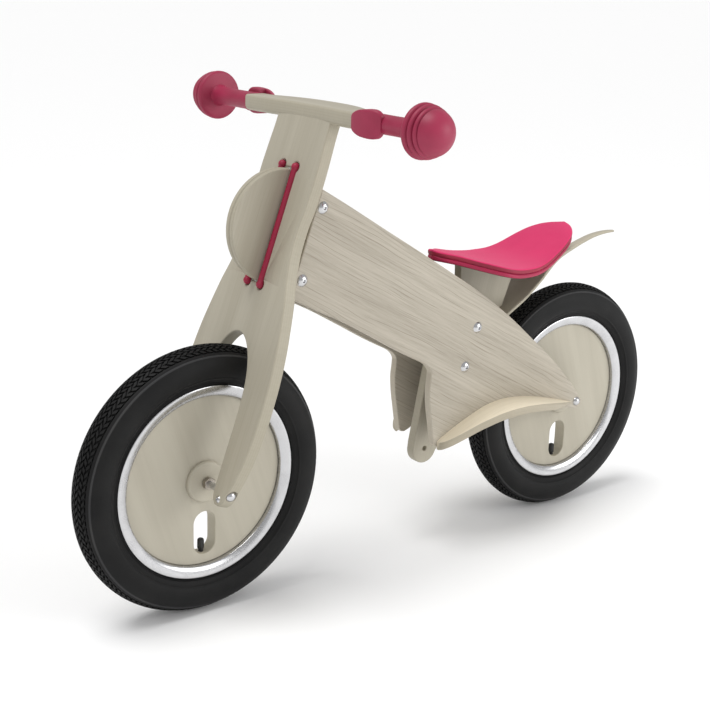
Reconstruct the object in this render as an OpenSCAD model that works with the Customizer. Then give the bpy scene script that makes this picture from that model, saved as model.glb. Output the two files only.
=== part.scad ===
// Child's wooden balance bike: two solid wheels on pneumatic tyres, a plank
// fork that turns on a steel pin, twin side panels and a saddle on a plate.
// Millimetres. X points forward, Y to the rider's left, Z up from the floor.

/* [Wheels] */
// Distance between the two axles
wheelbase = 556.6; // [554:0.1:560]
// Outer diameter of the tyre
tyre_diameter = 305; // [303:0.5:306]
// Width of the tyre's casing
tyre_width = 46; // [42:0.5:47]
// Outer diameter of the rim flange
rim_diameter = 221.2; // [220:0.2:222]
// Thickness of the plywood wheel disc
disc_thickness = 17; // [15:0.5:17]
// Diameter of the axle rods
axle_diameter = 8; // [7.6:0.1:8.2]
// Running clearance between bearing bore and axle, on the radius
bearing_clearance = 0.05; // [0.03:0.01:0.08]

/* [Fork] */
// Backward lean of the fork plank from the vertical, degrees
fork_lean = 19.6; // [19:0.1:20]
// Thickness of the fork plank
plank_thickness = 15; // [14:0.5:16]
// Inner distance between the fork legs
leg_gap = 77.2; // [76:0.2:80]
// Diameter of the steering pin
pin_diameter = 6; // [5:0.5:6]
// Diameter of each rubber buffer cord
cord_diameter = 7.4; // [6.6:0.1:7.4]
// Distance between the two buffer cords, centre to centre
cord_spacing = 24.6; // [24.6:0.1:25.4]

/* [Frame] */
// Outer distance across the two side panels
frame_width = 76; // [74:0.5:78]
// Thickness of each side panel
panel_thickness = 10; // [9:0.5:10.5]
// Thickness of one layer of the steering disc
layer_thickness = 6.5; // [6:0.1:6.6]
// Radius of the steering disc
steering_radius = 63.2; // [62:0.1:63.6]
// Thickness of the central seat plate
seat_plate_thickness = 12.5; // [11:0.5:14]
// Thickness of the footrests
footrest_thickness = 10; // [8:0.5:11]

/* [Seat and handlebar] */
// Thickness of the seat's shell
seat_base_thickness = 6; // [4:0.5:7]
// Thickness of the seat's padding
seat_pad_thickness = 7; // [5:0.5:9]
// Thickness of the bent strip behind the seat
mudguard_thickness = 5; // [4:0.5:6]
// Width of the bent strip behind the seat
mudguard_width = 50; // [44:1:52]
// Thickness of the handlebar board
board_thickness = 18; // [17:0.5:20]
// Diameter of the handle of each grip
grip_diameter = 20.8; // [20:0.2:22]
// Diameter of the knob that ends each grip
knob_diameter = 56; // [50:1:58]

/* [Hidden] */
$fn = 48;
fit = 0.05;
front_x = wheelbase / 2;
rear_x = -wheelbase / 2;
axle_z = tyre_diameter / 2;
plank_half = plank_thickness / 2;
panel_y = frame_width / 2;
inner_y = panel_y - panel_thickness;
disc_half = disc_thickness / 2;
axle_r = axle_diameter / 2;
pin_r = pin_diameter / 2;
cord_r = cord_diameter / 2;
cord_y = cord_spacing / 2;
cord_d = plank_half;
layer_gap = 0.2;
layer_out = layer_gap + layer_thickness;
head_s = 289.5;
head_d = -1.8;
slot_low = head_s - steering_radius - 1;
slot_high = head_s + steering_radius + 1;
cord_low = slot_low - 1.6;
cord_high = slot_high + 1.6;
knot_r = cord_r + 0.9;
plate_half = seat_plate_thickness / 2;
grip_x = 138.2;
grip_z = 546.2;
boss_out = 14;
bearing_r = 11;
spot_y = 61.6;
bolt_r = 3;
boss_lip = 12.3;

// One node by name, or everything

// ---------------------------------------------------------------- curves

function spline(a, b, c, d, t) =
    0.5 * (2 * b + (c - a) * t + (2 * a - 5 * b + 4 * c - d) * t * t
        + (3 * b - a - 3 * c + d) * t * t * t);

// A smooth line through the given points
function smooth(p, n = 4) =
    concat(
        [
            for (i = [0 : len(p) - 2])
                for (k = [0 : n - 1])
                    spline(
                        p[max(i - 1, 0)],
                        p[i],
                        p[i + 1],
                        p[min(i + 2, len(p) - 1)],
                        k / n
                    )
        ],
        [p[len(p) - 1]]
    );

// The same line backwards and mirrored across its second axis
function flip(p) = [for (i = [len(p) - 1 : -1 : 0]) [-p[i][0], p[i][1]]];

function reversed(p) = [for (i = [len(p) - 1 : -1 : 0]) p[i]];

function lowered(p, h) = [for (q = p) [q[0], q[1] - h]];

function arc(cx, cy, r, a0, a1, n = 12) =
    [for (i = [0 : n]) [cx + r * cos(a0 + (a1 - a0) * i / n), cy + r * sin(a0 + (a1 - a0) * i / n)]];

// ---------------------------------------------------------------- placing

// Local axes of the fork: x out of the plank's face, y left, z up the plank
module in_fork() {
    translate([front_x, 0, axle_z])
        rotate([0, -fork_lean, 0])
            children();
}

// A shape drawn in X and Z, given thickness from y0 to y1
module across(y0, y1) {
    translate([0, y1, 0])
        rotate([90, 0, 0])
            linear_extrude(y1 - y0)
                children();
}

// A shape drawn in y and z of the fork, given thickness from d0 to d1
module through(d0, d1) {
    translate([d0, 0, 0])
        rotate([90, 0, 90])
            linear_extrude(d1 - d0)
                children();
}

// A round bar along Y
module bar(x, z, r, y0, y1) {
    translate([x, y0, z])
        rotate([-90, 0, 0])
            cylinder(r = r, h = y1 - y0);
}

module both_sides() {
    children();
    mirror([0, 1, 0])
        children();
}

// Point of the head bolts, in plank thickness and plank height
head_bolt_points = [[-24.5, 322.4], [-26.2, 241]];

// Bolts that clamp the seat plate
frame_bolt_points = [[-91.2, 280.4], [-74.1, 233]];

// Free adjusting holes of the seat plate
spare_holes = [[-58.5, 178.5], [-43, 124]];

// A domed head or cap nut on the Y axis, flat side at y = 0
module dome(r, h) {
    rotate([-90, 0, 0])
        rotate_extrude()
            intersection() {
                translate([0, h - (r * r + h * h) / (2 * h)])
                    circle(r = (r * r + h * h) / (2 * h), $fn = 96);
                square([r, h]);
            }
}

// ---------------------------------------------------------------- fork

// Half width of the plank against height above the axle
plank_edge = [
    [48, 425], [48.5, 395], [50, 372], [51, 345], [50, 316], [47.6, 292], [48.6, 265],
    [54, 240], [62, 216], [69, 189], [75, 161], [78.6, 133], [80, 104], [79.6, 73],
    [76, 42], [70, 18], [64, 1], [60, -9], [53, -15]
];

// Inner edge of one leg, from its tip up to the top of the arch
leg_edge = [
    [47, -15], [42, -11], [39.2, -4], [38.6, 8], [38.8, 46], [39, 79], [37.6, 107],
    [34.6, 125], [30, 139], [24, 150.5], [17, 159.5], [9, 165.6], [0, 168]
];

module plank_outline() {
    half = concat(smooth(plank_edge), smooth(leg_edge));
    polygon(concat(half, flip(half)));
}

module fork_plank() {
    color([0.86, 0.80, 0.68])
        difference() {
            in_fork()
                difference() {
                    through(-plank_half, plank_half)
                        plank_outline();
                    through(-plank_half - 1, plank_half + 1)
                        translate([-cord_y, slot_low])
                            square([2 * cord_y, slot_high - slot_low]);
                    for (side = [-1, 1])
                        translate([cord_d, side * cord_y, cord_low])
                            cylinder(r = cord_r + fit, h = cord_high - cord_low);
                    // Holes that the knotted ends of the cords sit in
                    for (side = [-1, 1])
                        for (s = [cord_low, cord_high])
                            translate([-plank_half - 1, side * cord_y, s])
                                rotate([0, 90, 0])
                                    cylinder(r = knot_r + 0.8, h = plank_thickness + 2);
                    translate([0, 0, 197])
                        cylinder(r = pin_r + fit, h = 240);
                    translate([0, -100, 0])
                        rotate([-90, 0, 0])
                            cylinder(r = axle_r + fit, h = 200);
                    // Spot faces that the axle caps sit on
                    for (side = [0, 1])
                        mirror([0, side, 0])
                            translate([0, spot_y, 0])
                                rotate([-90, 0, 0])
                                    cylinder(r = 6.6, h = 20);
                    for (side = [-1, 1])
                        translate([-plank_half - 1, side * 51, -7.8])
                            rotate([0, 90, 0])
                                cylinder(r = 2.05, h = plank_thickness + 2);
                    for (side = [-1, 1])
                        translate([0, side * 32, 376])
                            cylinder(r = 2.3, h = 60);
                }
            translate([0, -100, 543.5])
                cube([300, 200, 60]);
        }
}

module steering_pin() {
    color([0.75, 0.76, 0.78])
        in_fork()
            translate([0, 0, 198])
                cylinder(r = pin_r, h = 212);
}

module steering_washers() {
    color([0.92, 0.92, 0.9])
        in_fork() {
            translate([0, 0, slot_high - 0.9])
                difference() {
                    cylinder(r = 6, h = 0.85);
                    translate([0, 0, -1])
                        cylinder(r = pin_r + fit, h = 3);
                }
            translate([0, 0, slot_low + 0.05])
                difference() {
                    cylinder(r = 6, h = 0.85);
                    translate([0, 0, -1])
                        cylinder(r = pin_r + fit, h = 3);
                }
        }
}

module buffer_cords() {
    color([0.62, 0.05, 0.15])
        in_fork()
            for (side = [-1, 1])
                translate([cord_d, side * cord_y, cord_low])
                    rotate_extrude()
                        intersection() {
                            union() {
                                circle(r = knot_r);
                                square([cord_r, cord_high - cord_low]);
                                translate([0, cord_high - cord_low])
                                    circle(r = knot_r);
                            }
                            translate([0, -knot_r])
                                square([knot_r, cord_high - cord_low + 2 * knot_r]);
                        }
}

module front_axle() {
    color([0.78, 0.79, 0.8])
        bar(front_x, axle_z, axle_r, -spot_y - 2, spot_y + 2);
}

module axle_cap(r, h, bore, deep) {
    difference() {
        dome(r, h);
        rotate([-90, 0, 0])
            translate([0, 0, -1])
                cylinder(r = bore, h = deep + 1);
    }
}

module front_axle_caps() {
    color([0.85, 0.86, 0.88])
        both_sides()
            translate([front_x, spot_y + 0.05, axle_z])
                axle_cap(6, 4.4, axle_r + 0.02, 2.2);
}

module front_hub_nuts() {
    color([0.8, 0.81, 0.83])
        both_sides()
            translate([front_x, boss_out + 0.6, axle_z])
                rotate([-90, 0, 0])
                    difference() {
                        union() {
                            cylinder(r = 7.4, h = 6.4, $fn = 6);
                            translate([0, 0, boss_lip - boss_out - 0.4])
                                cylinder(r = 4.9, h = 3);
                        }
                        translate([0, 0, -4])
                            cylinder(r = axle_r + 0.02, h = 12);
                    }
}

module fork_tip_screws() {
    color([0.8, 0.81, 0.83])
        in_fork()
            for (side = [-1, 1])
                translate([-plank_half + 2, side * 51, -7.8])
                    rotate([0, 90, 0]) {
                        cylinder(r = 2, h = plank_thickness - 1.9);
                        translate([0, 0, plank_thickness - 1.95])
                            cylinder(r1 = 3.6, r2 = 2.6, h = 1.4);
                    }
}

// ---------------------------------------------------------------- handlebar

board_front = [
    [148, 0], [148.2, 28], [149.6, 50], [151.4, 66], [152, 82], [152, 108]
];

board_back = [
    [124.4, 108], [124.4, 90], [118, 74], [110, 50], [106, 26], [105, 0]
];

module board_plan() {
    half = concat(smooth(board_front, 3), smooth(board_back, 3));
    polygon(concat(half, [for (i = [len(half) - 2 : -1 : 1]) [half[i][0], -half[i][1]]]));
}

module handlebar_board() {
    color([0.88, 0.83, 0.72])
        difference() {
            union() {
                translate([0, 0, grip_z - board_thickness / 2])
                    linear_extrude(board_thickness)
                        board_plan();
                bar(grip_x, grip_z, 7.5, -164, 164);
            }
            // Housing for the top of the plank
            translate([90, -48.6, 500])
                cube([80, 97.2, 43.55]);
            in_fork()
                for (side = [-1, 1])
                    translate([0, side * 32, 376]) {
                        cylinder(r = 2.3, h = 60);
                        translate([0, 0, 45])
                            cylinder(r = 4.6, h = 20);
                    }
        }
}

module handlebar_screws() {
    color([0.78, 0.79, 0.8])
        in_fork()
            for (side = [-1, 1])
                translate([0, side * 32, 377]) {
                    cylinder(r = 2.2, h = 44.2);
                    translate([0, 0, 44.1])
                        cylinder(r = 4.4, h = 3);
                }
}

// Handle, stepped rings and domed end, turned about the board's long axis
module grip_turned() {
    k = knob_diameter / 2;
    h = grip_diameter / 2;
    translate([grip_x, 0, grip_z])
        rotate([-90, 0, 0])
            rotate_extrude()
                difference() {
                    union() {
                        polygon([
                            [0, 108.3], [h, 108.3], [h, 183], [k - 6, 183], [k - 1, 184.2],
                            [k, 186], [k, 188.6], [k - 1, 189.8], [k - 4, 190.4], [k - 4, 191.2],
                            [k - 1.6, 191.8], [k - 0.8, 193.4], [k - 1.2, 195.4], [k - 2.2, 196.4],
                            [k - 5.6, 197], [k - 5.6, 197.8], [k - 3.2, 198.4], [k - 2.6, 200],
                            [k - 3.4, 202], [k - 5, 202.8], [k - 7.4, 203.2], [k - 7.4, 204], [0, 204]
                        ]);
                        intersection() {
                            translate([0, 197])
                                circle(r = k - 3.4, $fn = 96);
                            translate([0, 203.8])
                                square([k, k]);
                        }
                    }
                    translate([0, 100])
                        square([7.55, 65]);
                }
}

// Half height of the tongue along the handle, from its tip to the handle
tongue_edge = [
    [92, 0.5], [92.6, 5.6], [95.4, 9.4], [103, 12.8], [113, 14.6], [122, 15], [128, 14],
    [132, 11], [133.4, 7]
];

// Flat tongue that laps the board's front edge
module grip_tongue() {
    intersection() {
        translate([grip_x, 0, grip_z])
            rotate([90, 0, 90])
                linear_extrude(40, center = true)
                    polygon(concat(
                        smooth(tongue_edge, 3),
                        [for (q = reversed(smooth(tongue_edge, 3))) [q[0], -q[1]]]
                    ));
        translate([0, 0, grip_z - 20])
            linear_extrude(40)
                polygon(concat(
                    [[152.2, 108.4], [152.2, 90]],
                    smooth([[155.6, 90], [156.6, 100], [156, 112], [153.2, 124], [149, 134]], 3),
                    [[140, 134], [140, 108.4]]
                ));
    }
}

// Thin collar that closes the board's end
module grip_collar() {
    translate([127.4, 108.4, grip_z - 10.3])
        cube([24.8, 5, 20.6]);
}

module grip() {
    difference() {
        union() {
            grip_turned();
            difference() {
                union() {
                    grip_tongue();
                    grip_collar();
                }
                bar(grip_x, grip_z, 9, 100, 150);
            }
        }
        bar(grip_x, grip_z, 7.55, 100, 165);
    }
}

module grip_left() {
    color([0.80, 0.12, 0.28])
        grip();
}

module grip_right() {
    color([0.80, 0.12, 0.28])
        translate([grip_x, 0, 0])
            rotate([0, 0, 180])
                translate([-grip_x, 0, 0])
                    grip();
}

// ---------------------------------------------------------------- frame

panel_top = [
    [148.5, 468.3], [110, 446.2], [60, 416.4], [0, 381], [-50, 350.8], [-93, 324],
    [-143, 288.8], [-190, 250.4], [-236, 211], [-272, 173], [-288, 154]
];

panel_tip = arc(-278.3, 152.5, 11, 170, 262, 6);

panel_arch = [
    [-262, 146.5], [-230, 155.5], [-197, 164], [-168, 169], [-142, 170.6], [-116, 168],
    [-91, 160.5], [-64, 149.5], [-46, 139.5]
];

panel_lobe = [
    [-38, 136.8], [-31.5, 139], [-28.2, 147], [-23.5, 172], [-20, 192], [-18.4, 212],
    [-19.8, 228], [-19, 237], [-10, 246.5], [10, 257], [34, 270], [72, 292],
    [111, 313.8], [150, 333], [189.6, 353.1]
];

module panel_outline() {
    polygon(concat(
        smooth(panel_top, 3),
        panel_tip,
        smooth(panel_arch, 3),
        smooth(panel_lobe, 3)
    ));
}

// Head bolt positions seen along Y
function fork_point(q) = [
    front_x + q[0] * cos(fork_lean) - q[1] * sin(fork_lean),
    axle_z + q[0] * sin(fork_lean) + q[1] * cos(fork_lean)
];

module side_panel() {
    difference() {
        across(inner_y, panel_y)
            panel_outline();
        for (q = head_bolt_points)
            bar(fork_point(q)[0], fork_point(q)[1], bolt_r + fit, 0, 60);
        for (q = frame_bolt_points)
            bar(q[0], q[1], bolt_r + fit, 0, 60);
        bar(rear_x, axle_z, axle_r + fit, 0, 60);
        for (q = footrest_screw_points)
            bar(q[0], q[1], 2.05, 0, 60);
        for (q = footrest_screw_points)
            bar(q[0], q[1], 4.1, 0, inner_y + 3);
    }
}

module side_panel_left() {
    color([0.84, 0.79, 0.68])
        side_panel();
}

module side_panel_right() {
    color([0.84, 0.79, 0.68])
        mirror([0, 1, 0])
            side_panel();
}

module steering_disc_left() {
    color([0.85, 0.80, 0.68])
        difference() {
            in_fork()
                difference() {
                    translate([head_d, layer_gap, head_s])
                        rotate([-90, 0, 0])
                            cylinder(r = steering_radius, h = layer_thickness, $fn = 96);
                    translate([0, 0, head_s - 100])
                        cylinder(r = pin_r + bearing_clearance, h = 200);
                }
            for (q = head_bolt_points)
                bar(fork_point(q)[0], fork_point(q)[1], bolt_r + fit, -20, 20);
            // Nothing of the disc stands above the panels behind the plank
            across(-1, 20)
                polygon([[148.5, 468.3], [128.4, 524.8], [60, 524.8], [60, 416.4], [110, 446.2]]);
        }
}

module steering_disc_right() {
    mirror([0, 1, 0])
        steering_disc_left();
}

module tube_spacer(x, z, r, y0, y1) {
    difference() {
        bar(x, z, r, y0, y1);
        bar(x, z, bolt_r + fit, y0 - 1, y1 + 1);
    }
}

module head_spacers() {
    color([0.85, 0.80, 0.68])
        both_sides()
            for (q = head_bolt_points)
                tube_spacer(fork_point(q)[0], fork_point(q)[1], 7.8, layer_out + fit, inner_y - fit);
}

// A bolt along Y with its domed head on the rider's left
module cross_bolt(x, z) {
    bar(x, z, bolt_r, -panel_y - 2.5, panel_y + 0.1);
    translate([x, panel_y + 0.05, z])
        dome(7, 3.5);
}

module cross_nut(x, z) {
    translate([x, -panel_y - 0.05, z])
        mirror([0, 1, 0])
            axle_cap(7, 4, bolt_r + 0.02, 2.6);
}

module head_bolts() {
    color([0.82, 0.83, 0.85])
        for (q = head_bolt_points)
            cross_bolt(fork_point(q)[0], fork_point(q)[1]);
}

module head_nuts() {
    color([0.82, 0.83, 0.85])
        for (q = head_bolt_points)
            cross_nut(fork_point(q)[0], fork_point(q)[1]);
}

module frame_bolts() {
    color([0.82, 0.83, 0.85])
        for (q = frame_bolt_points)
            cross_bolt(q[0], q[1]);
}

module frame_nuts() {
    color([0.82, 0.83, 0.85])
        for (q = frame_bolt_points)
            cross_nut(q[0], q[1]);
}

module frame_spacers() {
    color([0.85, 0.80, 0.68])
        both_sides()
            for (q = frame_bolt_points)
                tube_spacer(q[0], q[1], 9, plate_half + fit, inner_y - fit);
}

// ---------------------------------------------------------------- footrests

footrest_line = [
    [-33, 143.5], [-39, 148], [-64, 159.8], [-91, 170.6], [-116, 178], [-142, 180.6],
    [-168, 179], [-197, 174], [-230, 165.5], [-262, 156], [-270, 153]
];

footrest_screw_points = [[-96, 166.4], [-196, 168.6]];

// The footrest thins toward its rear tip
function footrest_share(x) = min(1, max(0.4, (x + 285) / 75));

module footrest() {
    line = smooth(footrest_line, 3);
    under = [for (q = line) [q[0], q[1] - footrest_thickness * footrest_share(q[0])]];
    difference() {
        intersection() {
            across(panel_y + fit, panel_y + 45)
                polygon(concat(line, reversed(under)));
            linear_extrude(300)
                polygon(concat(
                    [[-34, panel_y], [-34, panel_y + 6]],
                    smooth([
                        [-36, panel_y + 11], [-44, panel_y + 17], [-60, panel_y + 23],
                        [-80, panel_y + 28], [-100, panel_y + 33.5], [-122, panel_y + 38.5],
                        [-146, panel_y + 41], [-172, panel_y + 40.5], [-202, panel_y + 34.5],
                        [-232, panel_y + 22], [-252, panel_y + 10], [-263, panel_y + 4],
                        [-267, panel_y + 2]
                    ], 3),
                    [[-268, panel_y]]
                ));
        }
        for (q = footrest_screw_points)
            bar(q[0], q[1], 2.05, 0, panel_y + 17);
    }
}

module footrest_left() {
    color([0.90, 0.84, 0.72])
        footrest();
}

module footrest_right() {
    color([0.90, 0.84, 0.72])
        mirror([0, 1, 0])
            footrest();
}

module footrest_screws() {
    color([0.78, 0.79, 0.8])
        both_sides()
            for (q = footrest_screw_points) {
                bar(q[0], q[1], 2, inner_y + 0.4, panel_y + 16);
                bar(q[0], q[1], 4, inner_y + 0.4, inner_y + 2.9);
            }
}

// ---------------------------------------------------------------- rear axle

module rear_axle() {
    color([0.78, 0.79, 0.8])
        bar(rear_x, axle_z, axle_r, -panel_y - 2, panel_y + 2);
}

module rear_axle_caps() {
    color([0.85, 0.86, 0.88])
        both_sides()
            translate([rear_x, panel_y + 0.05, axle_z])
                axle_cap(6, 4.4, axle_r + 0.02, 2.2);
}

module rear_axle_spacers() {
    color([0.8, 0.81, 0.83])
        both_sides()
            difference() {
                union() {
                    bar(rear_x, axle_z, 6.8, boss_out + 0.6, inner_y - fit);
                    bar(rear_x, axle_z, 4.9, boss_lip + 0.2, boss_out + 2);
                }
                bar(rear_x, axle_z, axle_r + 0.02, 0, 60);
            }
}

// ---------------------------------------------------------------- seat

// Upper line of the padding, seen from the side
seat_line = [
    [-40, 375.8], [-54, 373.2], [-70, 369.4], [-88, 364.3], [-106, 359.6], [-124, 355.6],
    [-140, 353.4], [-156, 352.6], [-172, 353], [-186, 354.8], [-200, 358.8], [-215, 365.2],
    [-230, 372.2], [-244, 378.8], [-258, 384.4], [-272, 388.6], [-282, 391]
];

// Half of the seat's outline, seen from above
seat_side = [
    [-45, 0], [-46, 7], [-49, 12], [-54.5, 17], [-63, 22.4], [-73, 31], [-83, 41.5],
    [-93, 52], [-103, 61], [-115, 66], [-130, 65.6], [-148, 63], [-170, 59.2], [-188, 54.2],
    [-205, 50], [-220, 46.6], [-234, 42.6], [-247, 37.4], [-258, 30.4], [-265.5, 21.5],
    [-270, 10], [-271, 0]
];

module seat_outline(inset) {
    half = smooth(seat_side, 3);
    polygon(concat(
        half,
        [for (i = [len(half) - 2 : -1 : 1]) [half[i][0], -half[i][1]]]
    ));
}

module seat_layer(top, thick) {
    line = smooth(seat_line, 3);
    intersection() {
        across(-80, 80)
            polygon(concat(lowered(line, top), reversed(lowered(line, top + thick))));
        linear_extrude(500)
            seat_outline();
    }
}

module seat_pad() {
    color([0.84, 0.15, 0.32])
        seat_layer(0, seat_pad_thickness);
}

seat_screw_points = [[-104, 0], [-134, 0], [-160, 0]];

seat_under = lowered(smooth(seat_line, 3), seat_pad_thickness + seat_base_thickness + 2 * fit);

module seat_base() {
    color([0.70, 0.08, 0.22])
        difference() {
            seat_layer(seat_pad_thickness + fit, seat_base_thickness);
            for (q = seat_screw_points)
                translate([q[0], 0, 300])
                    cylinder(r = 2.05, h = 100);
            for (q = seat_screw_points)
                translate([q[0], 0, lookup(-q[0], seat_height) - seat_pad_thickness - 4.2])
                    cylinder(r = 4.2, h = 20);
        }
}

seat_height = [[104, 360.1], [134, 354.05], [160, 352.6]];

module seat_screws() {
    color([0.78, 0.79, 0.8])
        for (q = seat_screw_points)
            translate([q[0], 0, lookup(-q[0], seat_height) - seat_pad_thickness]) {
                translate([0, 0, -44])
                    cylinder(r = 2, h = 42);
                translate([0, 0, -4.1])
                    cylinder(r = 4, h = 2.5);
            }
}

// Middle line of the bent strip, seen from the side
strip_line = [
    [-124, 267], [-142, 277.5], [-162, 289], [-183, 301], [-199, 312.5], [-214, 324.2],
    [-230, 332.8], [-245, 338.8], [-259, 344.2], [-274, 349.1], [-290, 354.1], [-305, 358.9],
    [-326, 364.2], [-349, 366.8], [-372, 366.4]
];

module strip_band(top, thick) {
    line = smooth(strip_line, 3);
    polygon(concat(lowered(line, -top), reversed(lowered(line, thick - top))));
}

strip_rise = mudguard_thickness * 0.5;

// Narrowing of the strip toward its tip, as a share of its half width
strip_taper = smooth([
    [-205, 1], [-218, 0.93], [-232, 0.74], [-246, 0.53], [-260, 0.38], [-275, 0.29],
    [-292, 0.235], [-312, 0.2], [-334, 0.18], [-354, 0.16], [-364, 0.12], [-368.6, 0.06]
], 3);

module mudguard() {
    w = mudguard_width / 2;
    color([0.88, 0.83, 0.72])
        difference() {
            intersection() {
                across(-40, 40)
                    strip_band(strip_rise, 2 * strip_rise);
                linear_extrude(500)
                    polygon(concat(
                        [[-120, w], [-120, -w]],
                        [for (q = strip_taper) [q[0], -q[1] * w]],
                        [[-370, 0]],
                        [for (i = [len(strip_taper) - 1 : -1 : 0]) [strip_taper[i][0], strip_taper[i][1] * w]]
                    ));
            }
            for (side = [-1, 1])
                mudguard_screw_place(side)
                    translate([0, 0, -30])
                        cylinder(r = 2.05, h = 60);
            for (side = [-1, 1])
                mudguard_screw_place(side)
                    translate([0, 0, 0.6])
                        cylinder(r = 4.2, h = 20);
        }
}

module mudguard_screw_place(side) {
    translate([-139, side * 15, 275.7])
        rotate([0, 30, 0])
            children();
}

module mudguard_screws() {
    color([0.78, 0.79, 0.8])
        for (side = [-1, 1])
            mudguard_screw_place(side) {
                translate([0, 0, -15])
                    cylinder(r = 2, h = 16);
                translate([0, 0, 0.7])
                    cylinder(r = 4, h = 1.8);
            }
}

module mudguard_block() {
    line = smooth(strip_line, 3);
    top = [for (q = line) if (q[0] < -125 && q[0] > -154) [q[0], q[1] - strip_rise - fit]];
    color([0.85, 0.80, 0.68])
        difference() {
            across(-inner_y + fit, inner_y - fit)
                polygon(concat(top, [[-147, 262], [-131, 253]]));
            for (side = [-1, 1])
                mudguard_screw_place(side)
                    translate([0, 0, -30])
                        cylinder(r = 2.05, h = 60);
        }
}

module seat_block() {
    line = smooth(strip_line, 3);
    low = [for (q = line) if (q[0] < -216 && q[0] > -252) [q[0], q[1] + strip_rise + fit]];
    high = [for (q = seat_under) if (q[0] < -216 && q[0] > -252) q];
    color([0.85, 0.80, 0.68])
        across(-14, 14)
            polygon(concat(low, reversed(high)));
}

// Central plate from the seat down between the panels
plate_front = [
    [-88.5, 336], [-82, 316], [-66, 284], [-52, 254], [-43.5, 228], [-38, 202],
    [-33.4, 178], [-29, 155], [-25, 134]
];

plate_back = [
    [-63, 120], [-71, 148], [-84, 186], [-98, 222], [-110, 246], [-121, 262]
];

module seat_plate() {
    line = smooth(strip_line, 3);
    floor_line = [for (q = line) if (q[0] < -128 && q[0] > -168) [q[0], q[1] + strip_rise + fit]];
    roof_line = [for (q = seat_under) if (q[0] < -87.9 && q[0] > -186) q];
    color([0.85, 0.80, 0.68])
        difference() {
            across(-plate_half, plate_half)
                polygon(concat(
                    reversed(roof_line),
                    smooth(plate_front, 3),
                    arc(-43, 124, 19, 12, -160, 10),
                    smooth(plate_back, 3),
                    [[-123.4, 271.5]],
                    floor_line
                ));
            for (q = frame_bolt_points)
                bar(q[0], q[1], bolt_r + fit, -20, 20);
            for (q = spare_holes)
                bar(q[0], q[1], bolt_r + fit, -20, 20);
            for (q = seat_screw_points)
                translate([q[0], 0, lookup(-q[0], seat_height) - seat_pad_thickness - 45])
                    cylinder(r = 2.05, h = 60);
        }
}

// ---------------------------------------------------------------- wheels

module wheel_place(x) {
    translate([x, 0, axle_z])
        rotate([90, 0, 0])
            children();
}

module tyre() {
    w = tyre_width / 2;
    crown = tyre_diameter / 2 - w;
    rotate_extrude($fn = 96)
        difference() {
            union() {
                translate([crown, 0])
                    circle(r = w, $fn = 64);
                polygon([
                    [104.7, -14.3], [110.6, -14.4], [111.4, -17], [118, -20.4], [crown, -w],
                    [crown, w], [118, 20.4], [111.4, 17], [110.6, 14.4], [104.7, 14.3]
                ]);
            }
            translate([crown, 0])
                circle(r = w - 4, $fn = 64);
            polygon([
                [100, -9.5], [106, -9.5], [112, -11.8], [crown, -w + 4],
                [crown, w - 4], [112, 11.8], [106, 9.5], [100, 9.5]
            ]);
        }
}

module inner_tube() {
    w = tyre_width / 2;
    crown = tyre_diameter / 2 - w;
    rotate_extrude($fn = 96)
        translate([crown, 0])
            difference() {
                circle(r = w - 4.3, $fn = 48);
                circle(r = w - 5.5, $fn = 48);
            }
}

module rim() {
    f = rim_diameter / 2;
    difference() {
        rotate_extrude($fn = 96)
            polygon([
                [98, -13], [98, 13], [103, 16], [108.6, 17.1], [f - 0.3, 17.1], [f, 16.5],
                [f, 15.2], [f - 0.6, 14.65], [104.2, 14.65], [103.4, 11], [101, 6],
                [101, -6], [103.4, -11], [104.2, -14.65], [f - 0.6, -14.65], [f, -15.2],
                [f, -16.5], [f - 0.3, -17.1], [108.6, -17.1], [103, -16]
            ]);
        translate([0, -110, 0])
            rotate([90, 0, 0])
                cylinder(r = 3.6, h = 30, center = true);
    }
}

module wheel_disc() {
    difference() {
        translate([0, 0, -disc_half])
            linear_extrude(disc_thickness)
                difference() {
                    circle(r = 97.95, $fn = 96);
                    circle(r = bearing_r + fit);
                    translate([0, -49.8])
                        circle(r = 13.5);
                    translate([0, -73.3])
                        circle(r = 13.5);
                    translate([-13.5, -73.3])
                        square([27, 23.5]);
                }
        translate([0, -78, 0])
            rotate([90, 0, 0])
                cylinder(r = 4.6, h = 30);
    }
}

module bosses() {
    for (m = [0, 1])
        mirror([0, 0, m])
            rotate_extrude()
                polygon([
                    [bearing_r + fit, disc_half + fit], [23.5, disc_half + fit], [23.5, 11],
                    [21.4, 13.2], [18.6, boss_out], [5.5, boss_out], [5.5, boss_lip],
                    [bearing_r + fit, boss_lip]
                ]);
}

module bearings() {
    for (m = [0, 1])
        mirror([0, 0, m])
            rotate_extrude()
                translate([axle_r + bearing_clearance, boss_lip - 7.1])
                    square([bearing_r - axle_r - bearing_clearance, 7]);
}

module hub_sleeve() {
    rotate_extrude()
        translate([4.4, 7.15 - boss_lip])
            square([2.1, 2 * (boss_lip - 7.15)]);
}

module valve() {
    translate([0, -71.2, 0])
        rotate([90, 0, 0]) {
            cylinder(r = 3.9, h = 13);
            translate([0, 0, 12.9])
                cylinder(r = 3, h = 25.3);
        }
}

module front_tyre() {
    color([0.10, 0.10, 0.10])
        wheel_place(front_x)
            tyre();
}

module rear_tyre() {
    color([0.10, 0.10, 0.10])
        wheel_place(rear_x)
            tyre();
}

module front_tube() {
    color([0.2, 0.2, 0.2])
        wheel_place(front_x)
            inner_tube();
}

module rear_tube() {
    color([0.2, 0.2, 0.2])
        wheel_place(rear_x)
            inner_tube();
}

module front_rim() {
    color([0.86, 0.87, 0.88])
        wheel_place(front_x)
            rim();
}

module rear_rim() {
    color([0.86, 0.87, 0.88])
        wheel_place(rear_x)
            rim();
}

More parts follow.
